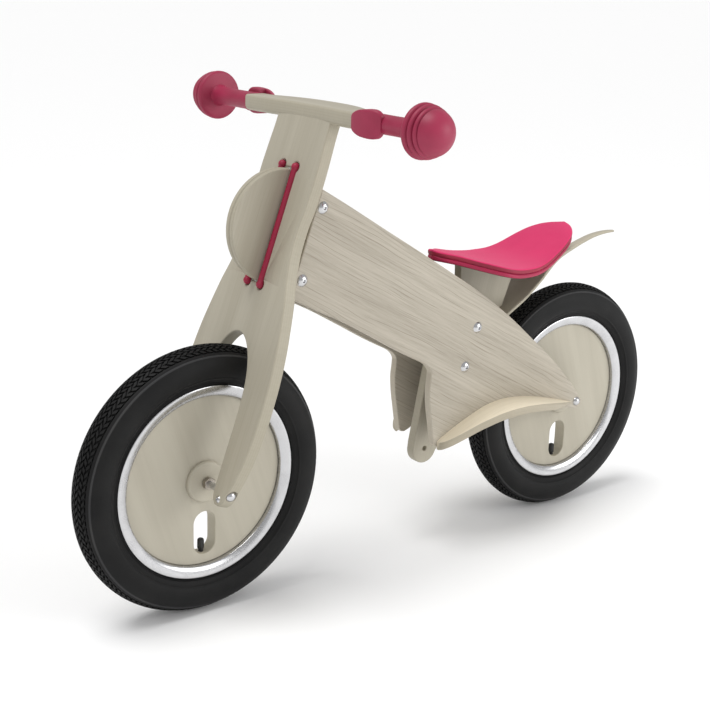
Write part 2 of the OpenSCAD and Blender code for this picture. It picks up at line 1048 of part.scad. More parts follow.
module front_disc() {
    color([0.86, 0.80, 0.68])
        wheel_place(front_x)
            wheel_disc();
}

module rear_disc() {
    color([0.86, 0.80, 0.68])
        wheel_place(rear_x)
            wheel_disc();
}

module front_bosses() {
    color([0.86, 0.80, 0.68])
        wheel_place(front_x)
            bosses();
}

module rear_bosses() {
    color([0.86, 0.80, 0.68])
        wheel_place(rear_x)
            bosses();
}

module front_bearings() {
    color([0.7, 0.71, 0.73])
        wheel_place(front_x)
            bearings();
}

module rear_bearings() {
    color([0.7, 0.71, 0.73])
        wheel_place(rear_x)
            bearings();
}

module front_hub_sleeve() {
    color([0.7, 0.71, 0.73])
        wheel_place(front_x)
            hub_sleeve();
}

module rear_hub_sleeve() {
    color([0.7, 0.71, 0.73])
        wheel_place(rear_x)
            hub_sleeve();
}

module front_valve() {
    color([0.08, 0.08, 0.08])
        wheel_place(front_x)
            valve();
}

module rear_valve() {
    color([0.08, 0.08, 0.08])
        wheel_place(rear_x)
            valve();
}

// ---------------------------------------------------------------- output

side_panel_left();
side_panel_right();
steering_disc_left();
steering_disc_right();
head_spacers();
head_bolts();
head_nuts();
seat_plate();
frame_spacers();
frame_bolts();
frame_nuts();
seat_base();
seat_pad();
seat_block();
seat_screws();
mudguard();
mudguard_block();
mudguard_screws();
footrest_left();
footrest_right();
footrest_screws();
rear_axle();
rear_axle_caps();
rear_axle_spacers();
fork_plank();
handlebar_board();
handlebar_screws();
grip_left();
grip_right();
steering_pin();
steering_washers();
buffer_cords();
front_axle();
front_axle_caps();
front_hub_nuts();
fork_tip_screws();
front_tyre();
front_tube();
front_rim();
front_disc();
front_bosses();
front_bearings();
front_hub_sleeve();
front_valve();
rear_tyre();
rear_tube();
rear_rim();
rear_disc();
rear_bosses();
rear_bearings();
rear_hub_sleeve();
rear_valve();
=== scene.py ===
import bpy
import bmesh
import math
from mathutils import Matrix, Vector, noise


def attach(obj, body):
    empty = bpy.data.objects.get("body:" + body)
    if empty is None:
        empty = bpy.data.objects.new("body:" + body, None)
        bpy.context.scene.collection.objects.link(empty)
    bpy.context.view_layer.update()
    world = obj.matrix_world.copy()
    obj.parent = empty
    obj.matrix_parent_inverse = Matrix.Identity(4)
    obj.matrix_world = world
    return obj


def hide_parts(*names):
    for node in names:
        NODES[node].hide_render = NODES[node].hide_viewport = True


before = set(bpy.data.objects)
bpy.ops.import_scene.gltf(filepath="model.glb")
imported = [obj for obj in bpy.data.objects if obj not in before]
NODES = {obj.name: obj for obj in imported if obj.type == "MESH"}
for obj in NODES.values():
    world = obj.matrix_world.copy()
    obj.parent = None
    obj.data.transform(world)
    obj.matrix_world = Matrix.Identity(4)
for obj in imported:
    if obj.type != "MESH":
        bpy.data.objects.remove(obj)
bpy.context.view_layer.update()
MM = 0.001
SCENE = bpy.context.scene


# ------------------------------------------------------------------ camera, floor and light

def make_camera():
    yaw, pitch, roll = (math.radians(a) for a in (-128.2966, -16.4512, 1.8101))
    ahead = Vector((math.cos(pitch) * math.cos(yaw), math.cos(pitch) * math.sin(yaw), math.sin(pitch)))
    side = ahead.cross(Vector((0, 0, 1))).normalized()
    up = side.cross(ahead)
    right = math.cos(roll) * side + math.sin(roll) * up
    top = -math.sin(roll) * side + math.cos(roll) * up
    data = bpy.data.cameras.new("camera")
    data.sensor_width = 36
    data.lens = 67.745
    data.clip_end = 200
    camera = bpy.data.objects.new("camera", data)
    m = Matrix((right, top, -ahead)).transposed().to_4x4()
    m.translation = Vector((0.99677, 1.17709, 0.70380))
    camera.matrix_world = m
    SCENE.collection.objects.link(camera)
    SCENE.camera = camera


def make_sun(name, strength, angle, towards):
    data = bpy.data.lights.new(name, "SUN")
    data.energy = strength
    data.angle = math.radians(angle)
    sun = bpy.data.objects.new(name, data)
    sun.rotation_euler = Vector(towards).to_track_quat("-Z", "Y").to_euler()
    SCENE.collection.objects.link(sun)


def make_softbox(name, place, aim, size, power):
    data = bpy.data.lights.new(name, "AREA")
    data.shape = "RECTANGLE"
    data.size, data.size_y = size
    data.energy = power
    box = bpy.data.objects.new(name, data)
    box.location = Vector(place)
    box.rotation_euler = (Vector(aim) - Vector(place)).to_track_quat("-Z", "Y").to_euler()
    SCENE.collection.objects.link(box)


def make_stage():
    world = bpy.data.worlds.new("studio")
    SCENE.world = world
    world.use_nodes = True
    world.node_tree.nodes["Background"].inputs["Color"].default_value = (1.0, 1.0, 1.0, 1)
    world.node_tree.nodes["Background"].inputs["Strength"].default_value = 0.53
    SCENE.view_settings.view_transform = "Standard"
    mesh = bpy.data.meshes.new("floor")
    mesh.from_pydata([(-60, -60, 0), (60, -60, 0), (60, 60, 0), (-60, 60, 0)], [], [(0, 1, 2, 3)])
    floor = bpy.data.objects.new("floor", mesh)
    SCENE.collection.objects.link(floor)
    mat = bpy.data.materials.new("floor_white")
    mat.use_nodes = True
    shader = mat.node_tree.nodes["Principled BSDF"]
    shader.inputs["Base Color"].default_value = (0.95, 0.95, 0.95, 1)
    shader.inputs["Roughness"].default_value = 0.55
    shader.inputs["Specular IOR Level"].default_value = 0.15
    mesh.materials.append(mat)
    make_sun("key", 1.85, 34, (-0.30, 0.04, -1.0))
    make_softbox("fill", (-1.3, 1.8, 1.0), (-0.25, 0, 0.2), (1.6, 1.2), 22)


# ------------------------------------------------------------------ curves shared with the CAD part

def spline_point(a, b, c, d, t):
    return tuple(0.5 * (2 * q + (r - p) * t + (2 * p - 5 * q + 4 * r - s) * t * t
                        + (3 * q - p - 3 * r + s) * t ** 3) for p, q, r, s in zip(a, b, c, d))


def smooth(points, n=6):
    out = []
    for i in range(len(points) - 1):
        a = points[max(i - 1, 0)]
        d = points[min(i + 2, len(points) - 1)]
        out += [spline_point(a, points[i], points[i + 1], d, k / n) for k in range(n)]
    return out + [tuple(points[-1])]


def along(points, x):
    """Second coordinate of a line of points at first coordinate x."""
    pts = sorted(points)
    if x <= pts[0][0]:
        return pts[0][1]
    for (x0, y0), (x1, y1) in zip(pts, pts[1:]):
        if x <= x1:
            return y0 + (y1 - y0) * (x - x0) / max(x1 - x0, 1e-9)
    return pts[-1][1]


def arc(cx, cy, r, a0, a1, n):
    return [(cx + r * math.cos(math.radians(a0 + (a1 - a0) * i / n)),
             cy + r * math.sin(math.radians(a0 + (a1 - a0) * i / n))) for i in range(n + 1)]


LEAN = math.radians(19.6)
FORK = Matrix.Translation((278.3, 0, 152.5)) @ Matrix.Rotation(-LEAN, 4, "Y")
THROUGH = Matrix(((0, 0, 1, 0), (1, 0, 0, 0), (0, 1, 0, 0), (0, 0, 0, 1)))
ACROSS = Matrix(((1, 0, 0, 0), (0, 0, -1, 0), (0, 1, 0, 0), (0, 0, 0, 1)))
ALONG_Y = Matrix.Rotation(math.radians(-90), 4, "X")
MIRROR = Matrix.Diagonal((1, -1, 1, 1))


def move(x, y, z):
    return Matrix.Translation((x, y, z))


def fork_point(d, s):
    return (278.3 + d * math.cos(LEAN) - s * math.sin(LEAN), 152.5 + d * math.sin(LEAN) + s * math.cos(LEAN))


PLANK_EDGE = [
    (48, 425), (48.5, 395), (50, 372), (51, 345), (50, 316), (47.6, 292), (48.6, 265), (54, 240),
    (62, 216), (69, 189), (75, 161), (78.6, 133), (80, 104), (79.6, 73), (76, 42), (70, 18),
    (64, 1), (60, -9), (53, -15)
]
LEG_EDGE = [
    (47, -15), (42, -11), (39.2, -4), (38.6, 8), (38.8, 46), (39, 79), (37.6, 107), (34.6, 125),
    (30, 139), (24, 150.5), (17, 159.5), (9, 165.6), (0, 168)
]
PANEL_TOP = [
    (148.5, 468.3), (110, 446.2), (60, 416.4), (0, 381), (-50, 350.8), (-93, 324), (-143, 288.8),
    (-190, 250.4), (-236, 211), (-272, 173), (-288, 154)
]
PANEL_ARCH = [
    (-262, 146.5), (-230, 155.5), (-197, 164), (-168, 169), (-142, 170.6), (-116, 168),
    (-91, 160.5), (-64, 149.5), (-46, 139.5)
]
PANEL_LOBE = [
    (-38, 136.8), (-31.5, 139), (-28.2, 147), (-23.5, 172), (-20, 192), (-18.4, 212), (-19.8, 228),
    (-19, 237), (-10, 246.5), (10, 257), (34, 270), (72, 292), (111, 313.8), (150, 333),
    (189.6, 353.1)
]
FOOT_LINE = [
    (-33, 143.5), (-39, 148), (-64, 159.8), (-91, 170.6), (-116, 178), (-142, 180.6), (-168, 179),
    (-197, 174), (-230, 165.5), (-262, 156), (-270, 153)
]
FOOT_SIDE = [
    (-34, 6), (-36, 11), (-44, 17), (-60, 23), (-80, 28), (-100, 33.5), (-122, 38.5), (-146, 41),
    (-172, 40.5), (-202, 34.5), (-232, 22), (-252, 10), (-263, 4), (-267, 2), (-268, 0)
]
PLATE_FRONT = [
    (-88.5, 336), (-82, 316), (-66, 284), (-52, 254), (-43.5, 228), (-38, 202), (-33.4, 178),
    (-29, 155), (-25, 134)
]
PLATE_BACK = [
    (-63, 120), (-71, 148), (-84, 186), (-98, 222), (-110, 246), (-121, 262)
]
SEAT_LINE = [
    (-40, 375.8), (-54, 373.2), (-70, 369.4), (-88, 364.3), (-106, 359.6), (-124, 355.6),
    (-140, 353.4), (-156, 352.6), (-172, 353), (-186, 354.8), (-200, 358.8), (-215, 365.2),
    (-230, 372.2), (-244, 378.8), (-258, 384.4), (-272, 388.6), (-282, 391)
]
SEAT_SIDE = [
    (-45, 0), (-46, 7), (-49, 12), (-54.5, 17), (-63, 22.4), (-73, 31), (-83, 41.5), (-93, 52),
    (-103, 61), (-115, 66), (-130, 65.6), (-148, 63), (-170, 59.2), (-188, 54.2), (-205, 50),
    (-220, 46.6), (-234, 42.6), (-246, 36.8), (-256.5, 28.6), (-264.4, 19.0), (-269.4, 9.4),
    (-271, 0)
]
STRIP_LINE = [
    (-124, 267), (-142, 277.5), (-162, 289), (-183, 301), (-199, 312.5), (-214, 324.2),
    (-230, 332.8), (-245, 338.8), (-259, 344.2), (-274, 349.1), (-290, 354.1), (-305, 358.9),
    (-326, 364.2), (-349, 366.8), (-372, 366.4)
]
STRIP_TAPER = [
    (-120, 1), (-205, 1), (-218, 0.93), (-232, 0.74), (-246, 0.53), (-260, 0.38), (-275, 0.29),
    (-292, 0.235), (-312, 0.2), (-334, 0.18), (-354, 0.16), (-364, 0.12), (-368.6, 0.06)
]
STRIP_RISE = 2.5
BOARD_FRONT = [(148, 0), (148.2, 28), (149.6, 50), (151.4, 66), (152, 82), (152, 108)]
TONGUE = [
    (92, 0.5), (92.6, 5.6), (95.4, 9.4), (103, 12.8), (113, 14.6), (122, 15), (128, 14), (132, 11),
    (133.4, 7)
]
BOARD_BACK = [(124.4, 108), (124.4, 90), (118, 74), (110, 50), (106, 26), (105, 0)]
HEAD_BOLTS = [fork_point(-24.5, 322.4), fork_point(-26.2, 241)]
FRAME_BOLTS = [(-91.2, 280.4), (-74.1, 233)]
SPARE_HOLES = [(-58.5, 178.5), (-43, 124)]
DISC_S, DISC_R = 289.5, 63.2
SLOT = (DISC_S - DISC_R - 1, DISC_S + DISC_R + 1)
CORD_R, CORD_D, CORD_Y = 3.7, 7.5, 12.3
GRIP_X, GRIP_Z = 138.2, 546.2
AXLE_Z = 152.5
FRONT_X, REAR_X = 278.3, -278.3

# Half thicknesses of the flat wooden pieces
PLANK_HALF, PANEL_HALF, LAYER_HALF, POST_HALF, BOARD_HALF = 7.5, 5, 3.25, 6.25, 8.5
# Half widths of the wedge under the saddle and of the block under the tail strip
WEDGE_HALF, BLOCK_HALF = 14, 27.9
# Where the plank ends along the fork, where the axle caps sit on its legs, and the panels' outer face
PLANK_TOP, SPOT_Y, PANEL_Y = 413.5, 61.6, 38
# Middles of a cord's two knots along the fork, their radius and that of the slot's round ends
KNOTS, KNOT_R, KNOT_HOLE_R = (SLOT[0] - 1.6, SLOT[1] + 1.6), 4.6, 5.4
# Radii of the bolts' shanks, the holes for them, the bolts' heads and the axle caps
BOLT_R, BOLT_HOLE_R, HEAD_R, CAP_R = 3.0, 3.05, 7.0, 6.0
# Gap left between two pieces that rest on each other
FIT = 0.05
# From the saddle's middle line on top down to the wood under it
SEAT_DEPTH = 13.1
STRIP_HALF_WIDTH = 25.0
STEP_THICKNESS = 10
# Middle and radius of the tyre's round section, and radius of the hole for the hub
CROWN, CASING_R = 129.5, 23.0
HUB_R = 11.05


# ------------------------------------------------------------------ mesh helpers

def piece(name, verts, faces, body, material, replaced=(), grain=None, edge=None, turn=None,
          crease=32, weighted=False):
    """A finished mesh, from vertices in millimetres. The grain matrix makes its grain coordinates."""
    mesh = bpy.data.meshes.new(name)
    turn = turn or Matrix.Identity(4)
    mesh.from_pydata([(turn @ Vector(v)) * MM for v in verts], [], faces)
    bm = bmesh.new()
    bm.from_mesh(mesh)
    bmesh.ops.recalc_face_normals(bm, faces=bm.faces)
    bm.to_mesh(mesh)
    bm.free()
    if grain is not None:
        data = mesh.attributes.new("grain", "FLOAT_VECTOR", "POINT").data
        for i, v in enumerate(verts):
            data[i].vector = (grain @ Vector(v)) * MM
        data = mesh.attributes.new("edge", "FLOAT", "POINT").data
        for i in range(len(verts)):
            data[i].value = edge[i] if edge else 0.0
    mesh.shade_smooth()
    mesh.set_sharp_from_angle(angle=math.radians(crease))
    mesh.materials.append(material)
    obj = bpy.data.objects.new(name, mesh)
    SCENE.collection.objects.link(obj)
    if weighted:
        mod = obj.modifiers.new("weighted", "WEIGHTED_NORMAL")
        mod.weight = 90
        mod.keep_sharp = True
    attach(obj, body)
    if replaced:
        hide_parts(*replaced)
    return obj


def plate(outlines, half, radius, steps=3):
    """Verts, faces and edge weights of a plate with rounded edges, its thickness along local Z."""
    curve = bpy.data.curves.new("plate", "CURVE")
    curve.dimensions = "2D"
    curve.fill_mode = "BOTH"
    curve.extrude = (half - radius) * MM
    curve.bevel_depth = radius * MM
    curve.bevel_resolution = steps
    curve.offset = -radius * MM
    for outline in outlines:
        line = curve.splines.new("POLY")
        line.points.add(len(outline) - 1)
        for p, q in zip(line.points, outline):
            p.co = (q[0] * MM, q[1] * MM, 0, 1)
        line.use_cyclic_u = True
    obj = bpy.data.objects.new("plate", curve)
    SCENE.collection.objects.link(obj)
    bpy.context.view_layer.update()
    mesh = bpy.data.meshes.new_from_object(obj.evaluated_get(bpy.context.evaluated_depsgraph_get()))
    bm = bmesh.new()
    bm.from_mesh(mesh)
    bmesh.ops.remove_doubles(bm, verts=bm.verts, dist=1e-6)
    bmesh.ops.dissolve_degenerate(bm, edges=bm.edges, dist=1e-7)
    verts = [tuple(c / MM for c in v.co) for v in bm.verts]
    bm.verts.index_update()
    faces = [[v.index for v in f.verts] for f in bm.faces]
    bm.free()
    bpy.data.objects.remove(obj)
    bpy.data.curves.remove(curve)
    bpy.data.meshes.remove(mesh)
    edge = [1.0 if abs(v[2]) < half - 0.35 * radius else 0.0 for v in verts]
    return verts, faces, edge


def lathe(profile, segments=96, closed=False):
    """Turns (radius, height) points about Z. A radius can be a function of the angle.

    Ends on the axis close as fans, and closed=True joins the last ring to the first.
    """
    verts, faces, rings = [], [], []
    for r, z in profile:
        if not callable(r) and r < 1e-6:
            rings.append([len(verts)])
            verts.append((0, 0, z))
            continue
        ring = []
        for i in range(segments):
            a = 2 * math.pi * i / segments
            q = r(a) if callable(r) else r
            ring.append(len(verts))
            verts.append((q * math.cos(a), q * math.sin(a), z))
        rings.append(ring)
    pairs = list(zip(rings, rings[1:] + ([rings[0]] if closed else [])))
    for one, two in pairs[:None if closed else len(rings) - 1]:
        for i in range(segments):
            j = (i + 1) % segments
            if len(one) == 1 and len(two) > 1:
                faces.append([one[0], two[i], two[j]])
            elif len(two) == 1 and len(one) > 1:
                faces.append([one[i], one[j], two[0]])
            elif len(one) > 1:
                faces.append([one[i], one[j], two[j], two[i]])
    return verts, faces


def loft(rings):
    """Joins rings of equal length with quads, and closes both ends."""
    n = len(rings[0])
    verts = [p for ring in rings for p in ring]
    faces = []
    for k in range(len(rings) - 1):
        for i in range(n):
            j = (i + 1) % n
            faces.append([k * n + i, k * n + j, (k + 1) * n + j, (k + 1) * n + i])
    faces.append(list(range(n)))
    faces.append([(len(rings) - 1) * n + i for i in range(n)])
    return verts, faces


def rounded(x0, x1, z0, z1, radii, steps=5):
    """Outline of a rectangle with a radius for each corner, counter-clockwise from the lower left."""
    corners = [(x0, z0, 1, 1, 180), (x1, z0, -1, 1, 270), (x1, z1, -1, -1, 0), (x0, z1, 1, -1, 90)]
    out = []
    limit = 0.499 * min(abs(x1 - x0), abs(z1 - z0))
    for (x, z, sx, sz, a), r in zip(corners, radii):
        r = min(r, limit)
        out += arc(x + sx * r, z + sz * r, r, a, a + 90, steps)
    return out


def joined(parts):
    verts, faces = [], []
    for v, f in parts:
        base = len(verts)
        verts += v
        faces += [[base + i for i in face] for face in f]
    return verts, faces


def turned(part, matrix):
    return [tuple(matrix @ Vector(v)) for v in part[0]], part[1]


def boolean(obj, part, kind):
    """Joins another closed mesh to obj, or cuts it away, and keeps only the result."""
    mesh = bpy.data.meshes.new("tool")
    mesh.from_pydata([Vector(v) * MM for v in part[0]], [], part[1])
    bm = bmesh.new()
    bm.from_mesh(mesh)
    bmesh.ops.recalc_face_normals(bm, faces=bm.faces)
    bm.to_mesh(mesh)
    bm.free()
    tool = bpy.data.objects.new("tool", mesh)
    SCENE.collection.objects.link(tool)
    mod = obj.modifiers.new("cut", "BOOLEAN")
    mod.operation = kind
    mod.solver = "EXACT"
    mod.object = tool
    bpy.context.view_layer.update()
    result = bpy.data.meshes.new_from_object(obj.evaluated_get(bpy.context.evaluated_depsgraph_get()))
    obj.modifiers.remove(mod)
    old = obj.data
    result.name = old.name
    obj.data = result
    bpy.data.objects.remove(tool)
    bpy.data.meshes.remove(mesh)
    bpy.data.meshes.remove(old)


# ------------------------------------------------------------------ materials

class Nodes:
    def __init__(self, name):
        self.mat = bpy.data.materials.new(name)
        self.mat.use_nodes = True
        self.tree = self.mat.node_tree
        self.shader = self.tree.nodes["Principled BSDF"]

    def add(self, kind, inputs=None, **settings):
        node = self.tree.nodes.new("ShaderNode" + kind)
        for key, value in settings.items():
            setattr(node, key, value)
        for key, value in (inputs or {}).items():
            self.put(node.inputs[key], value)
        return node

    def put(self, socket, value):
        if isinstance(value, bpy.types.NodeSocket):
            self.tree.links.new(value, socket)
        else:
            socket.default_value = value

    def set(self, **values):
        for key, value in values.items():
            self.put(self.shader.inputs[key.replace("_", " ")], value)

    def noise(self, vector, scale=1.0, detail=2.0, rough=0.5, distortion=0.0):
        node = self.add("TexNoise", {"Vector": vector, "Scale": scale, "Detail": detail,
                                     "Roughness": rough, "Distortion": distortion})
        return node.outputs["Fac"]

    def stretch(self, vector, scale, turn=(0, 0, 0)):
        node = self.add("Mapping", {"Vector": vector, "Rotation": turn, "Scale": scale})
        return node.outputs["Vector"]

    def ramp(self, fac, low, high, a=0.0, b=1.0):
        node = self.add("MapRange", {"Value": fac, "From Min": low, "From Max": high,
                                     "To Min": a, "To Max": b})
        return node.outputs["Result"]

    def math(self, kind, a, b=0.0):
        node = self.add("Math", operation=kind)
        self.put(node.inputs[0], a)
        self.put(node.inputs[1], b)
        return node.outputs[0]

    def mix(self, fac, a, b):
        node = self.add("Mix", data_type="RGBA")
        self.put(node.inputs["Factor"], fac)
        self.put(node.inputs["A"], a)
        self.put(node.inputs["B"], b)
        return node.outputs["Result"]

    def bump(self, height, strength, distance):
        node = self.add("Bump", {"Height": height, "Strength": strength, "Distance": distance})
        return node.outputs["Normal"]


def rgb(*c):
    return (c[0], c[1], c[2], 1.0)


def scaled(colour, *factors):
    return rgb(*(f * c for f, c in zip(factors, colour)))


def wood(name, light, dark, streak, local=True, relief=0.5, rim=1.0):
    """Whitewashed plywood: long grain on the faces, glued layers on the edges, their tone times rim."""
    m = Nodes(name)
    if local:
        place = m.add("Attribute", attribute_name="grain").outputs["Vector"]
        edge = m.add("Attribute", attribute_name="edge").outputs["Fac"]
    else:
        place = m.add("TexCoord").outputs["Object"]
        edge = 0.35
    fine = m.noise(m.stretch(place, (14, 520, 520)), detail=5, rough=0.62)
    broad = m.noise(m.stretch(place, (2.5, 38, 38)), detail=3, distortion=0.2)
    warp = m.noise(m.stretch(place, (6, 15, 15)), detail=2)
    part = m.add("SeparateXYZ", {"Vector": place})
    rows = m.math("ADD", m.math("MULTIPLY", part.outputs["Y"], 215.0), m.math("MULTIPLY", warp, 4.5))
    line = m.math("ABSOLUTE", m.math("SINE", m.math("MULTIPLY", rows, 3.14159)))
    line = m.ramp(line, 0.30, 0.0)
    broken = m.ramp(m.noise(m.stretch(place, (13, 150, 150)), detail=2), 0.44, 0.62)
    vein = m.math("MULTIPLY", line, broken)
    pores = m.ramp(m.noise(m.stretch(place, (70, 2300, 2300)), detail=2), 0.58, 0.74)
    tone = m.math("ADD", m.math("MULTIPLY", m.ramp(fine, 0.32, 0.68), 0.34 * streak),
                  m.math("MULTIPLY", m.ramp(broad, 0.35, 0.65), 0.30))
    tone = m.math("ADD", tone, m.math("MULTIPLY", vein, 0.62 * streak))
    tone = m.math("ADD", tone, m.math("MULTIPLY", pores, 0.22 * streak))
    face = m.mix(m.math("MINIMUM", tone, 1.0), rgb(*light), rgb(*dark))
    layer = m.math("SINE", m.math("MULTIPLY", part.outputs["Z"], 2 * math.pi / 0.0030))
    layer = m.ramp(layer, 0.15, 0.75)
    ply_tone = m.mix(m.math("MULTIPLY", layer, 0.10), scaled(light, rim * 1.03, rim * 1.02, rim * 0.99),
                     scaled(dark, rim * 1.02, rim * 0.95, rim * 0.84))
    speck = m.ramp(m.noise(m.stretch(place, (420, 420, 60)), detail=3), 0.35, 0.75, 0.0, 0.12)
    end = m.mix(speck, ply_tone, scaled(dark, rim, rim, rim))
    m.set(Base_Color=m.mix(edge, face, end), Roughness=m.ramp(fine, 0.3, 0.7, 0.44, 0.60),
          Specular_IOR_Level=0.35, Coat_Weight=0.06, Coat_Roughness=0.35)
    height = m.math("SUBTRACT", m.math("MULTIPLY", fine, 0.6), m.math("MULTIPLY", vein, 0.8))
    m.set(Normal=m.bump(height, relief * 0.35, 0.0004))
    return m.mat


def crimson_rubber(name, colour, dark, roughness):
    m = Nodes(name)
    place = m.add("TexCoord").outputs["Object"]
    cloud = m.noise(place, scale=32, detail=3)
    grit = m.noise(place, scale=2600, detail=2)
    m.set(Base_Color=m.mix(m.ramp(cloud, 0.3, 0.7), rgb(*colour), rgb(*dark)),
          Roughness=m.ramp(grit, 0.3, 0.7, roughness - 0.05, roughness + 0.08), Specular_IOR_Level=0.42,
          Normal=m.bump(grit, 0.10, 0.0002))
    return m.mat


def seat_cloth(name, colour, dark):
    """Close-knit cover cloth over foam: a fine knit, a soft sheen, faint shading."""
    m = Nodes(name)
    place = m.add("TexCoord").outputs["Object"]
    part = m.add("SeparateXYZ", {"Vector": place})
    rib = m.math("SINE", m.math("MULTIPLY", part.outputs["X"], 2 * math.pi / 0.0011))
    stitch = m.math("SINE", m.math("MULTIPLY", part.outputs["Y"], 2 * math.pi / 0.0014))
    knit = m.math("MULTIPLY", rib, stitch)
    cloud = m.noise(place, scale=26, detail=3)
    fuzz = m.noise(place, scale=1500, detail=2)
    tone = m.math("ADD", m.ramp(cloud, 0.3, 0.7, 0.0, 0.30), m.ramp(knit, -1.0, 1.0, 0.0, 0.16))
    m.set(Base_Color=m.mix(tone, rgb(*colour), rgb(*dark)), Roughness=m.ramp(fuzz, 0.3, 0.7, 0.62, 0.76),
          Specular_IOR_Level=0.25, Sheen_Weight=0.22, Sheen_Roughness=0.45, Sheen_Tint=(1.0, 0.55, 0.66, 1.0),
          Normal=m.bump(m.math("ADD", m.math("MULTIPLY", knit, 0.5), fuzz), 0.16, 0.0003))
    return m.mat


def tyre_rubber(name, low, high):
    m = Nodes(name)
    place = m.add("TexCoord").outputs["Object"]
    dust = m.noise(place, scale=24, detail=4)
    grit = m.noise(place, scale=1900, detail=3)
    m.set(Base_Color=m.mix(m.ramp(dust, 0.40, 0.78), rgb(low, low, low * 1.05),
                           rgb(high, high * 0.98, high * 0.95)),
          Roughness=m.ramp(grit, 0.3, 0.7, 0.50, 0.70), Specular_IOR_Level=0.24,
          Normal=m.bump(grit, 0.14, 0.0003))
    return m.mat


def metal(name, colour, low, high, brushed=None):
    m = Nodes(name)
    place = m.add("TexCoord").outputs["Object"]
    scale = brushed or (900, 900, 900)
    lines = m.noise(m.stretch(place, scale), detail=3)
    smudge = m.noise(place, scale=60, detail=3)
    rough = m.math("ADD", m.ramp(lines, 0.3, 0.7, low, high), m.ramp(smudge, 0.4, 0.7, 0.0, 0.05))
    m.set(Base_Color=m.mix(m.ramp(smudge, 0.35, 0.7), rgb(*colour), scaled(colour, 0.90, 0.90, 0.90)),
          Metallic=1.0, Roughness=rough, Normal=m.bump(lines, 0.04, 0.0001))
    return m.mat


def plain_plastic(name, colour, roughness):
    m = Nodes(name)
    place = m.add("TexCoord").outputs["Object"]
    grain = m.noise(place, scale=800, detail=2)
    cloud = m.ramp(m.noise(place, scale=70), 0.3, 0.7)
    m.set(Base_Color=m.mix(cloud, rgb(*colour), scaled(colour, 0.86, 0.86, 0.86)),
          Roughness=m.ramp(grain, 0.3, 0.7, roughness - 0.06, roughness + 0.08),
          Normal=m.bump(grain, 0.08, 0.0002))
    return m.mat


WOOD_LIGHT = (0.45, 0.417, 0.335)
WOOD_DARK = (0.27, 0.237, 0.175)
PANEL = wood("whitewashed_panel", (0.52, 0.475, 0.395), (0.275, 0.243, 0.19), 1.15, relief=1.0)
PLY = wood("pale_plywood", WOOD_LIGHT, WOOD_DARK, 0.30, rim=0.9)
FACE = wood("wheel_plywood", (0.49, 0.457, 0.372), (0.32, 0.285, 0.22), 0.14)
# The footrests take a far lighter plywood than the other wooden parts, painted light for their tops lit from
# above; rim=0.50 halves the tone of their sides and underside as painted shade.
PAINTED_LIGHT_STEP = wood("footrest_plywood_painted_light_shade", (0.84, 0.76, 0.60), (0.60, 0.52, 0.38), 0.45, rim=0.50)
HIDDEN_PLY = wood("plywood_pieces", WOOD_LIGHT, WOOD_DARK, 0.45, local=False)
GRIP = crimson_rubber("crimson_grip", (0.36, 0.026, 0.075), (0.29, 0.018, 0.056), 0.46)
CORD = crimson_rubber("crimson_cord", (0.36, 0.012, 0.050), (0.26, 0.008, 0.036), 0.50)
SHELL = crimson_rubber("crimson_shell", (0.42, 0.012, 0.070), (0.34, 0.010, 0.055), 0.46)
# A darker crimson for the cushion's sides below its top: painted shade where they turn from the light.
PAD_SIDE_SHADE = crimson_rubber("seat_pad_side_shade", (0.36, 0.012, 0.045), (0.26, 0.012, 0.038), 0.55)
UNDERSIDE = crimson_rubber("seat_underside", (0.10, 0.030, 0.030), (0.07, 0.022, 0.022), 0.7)
CLOTH = seat_cloth("crimson_cloth", (0.66, 0.030, 0.135), (0.52, 0.018, 0.098))
TYRE = tyre_rubber("tyre_rubber", 0.0035, 0.009)
# A lighter grey rubber for the sidewall's raised ridge: a painted highlight.
RIDGE_HIGHLIGHT = tyre_rubber("tyre_ridge_painted_highlight", 0.030, 0.045)
BUTYL = plain_plastic("butyl_rubber", (0.02, 0.02, 0.02), 0.55)
VALVE = plain_plastic("valve_rubber", (0.012, 0.012, 0.012), 0.42)
NYLON = plain_plastic("nylon", (0.80, 0.80, 0.77), 0.45)
RIM = metal("polished_rim", (0.58, 0.58, 0.59), 0.18, 0.28)
CHROME = metal("bright_chrome", (0.62, 0.62, 0.63), 0.16, 0.24)
STEEL = metal("drawn_steel", (0.66, 0.665, 0.68), 0.22, 0.34, brushed=(200, 2400, 200))
DULL_STEEL = metal("dull_steel", (0.42, 0.38, 0.33), 0.30, 0.44)
ZINC = metal("zinc_plate", (0.66, 0.66, 0.65), 0.28, 0.40)


# ------------------------------------------------------------------ fork and handlebar

def grain_along(angle, offset=(0, 0, 0)):
    """Grain coordinates whose first axis runs at this angle in the plate's own plane."""
    return move(*offset) @ Matrix.Rotation(math.radians(-angle), 4, "Z")


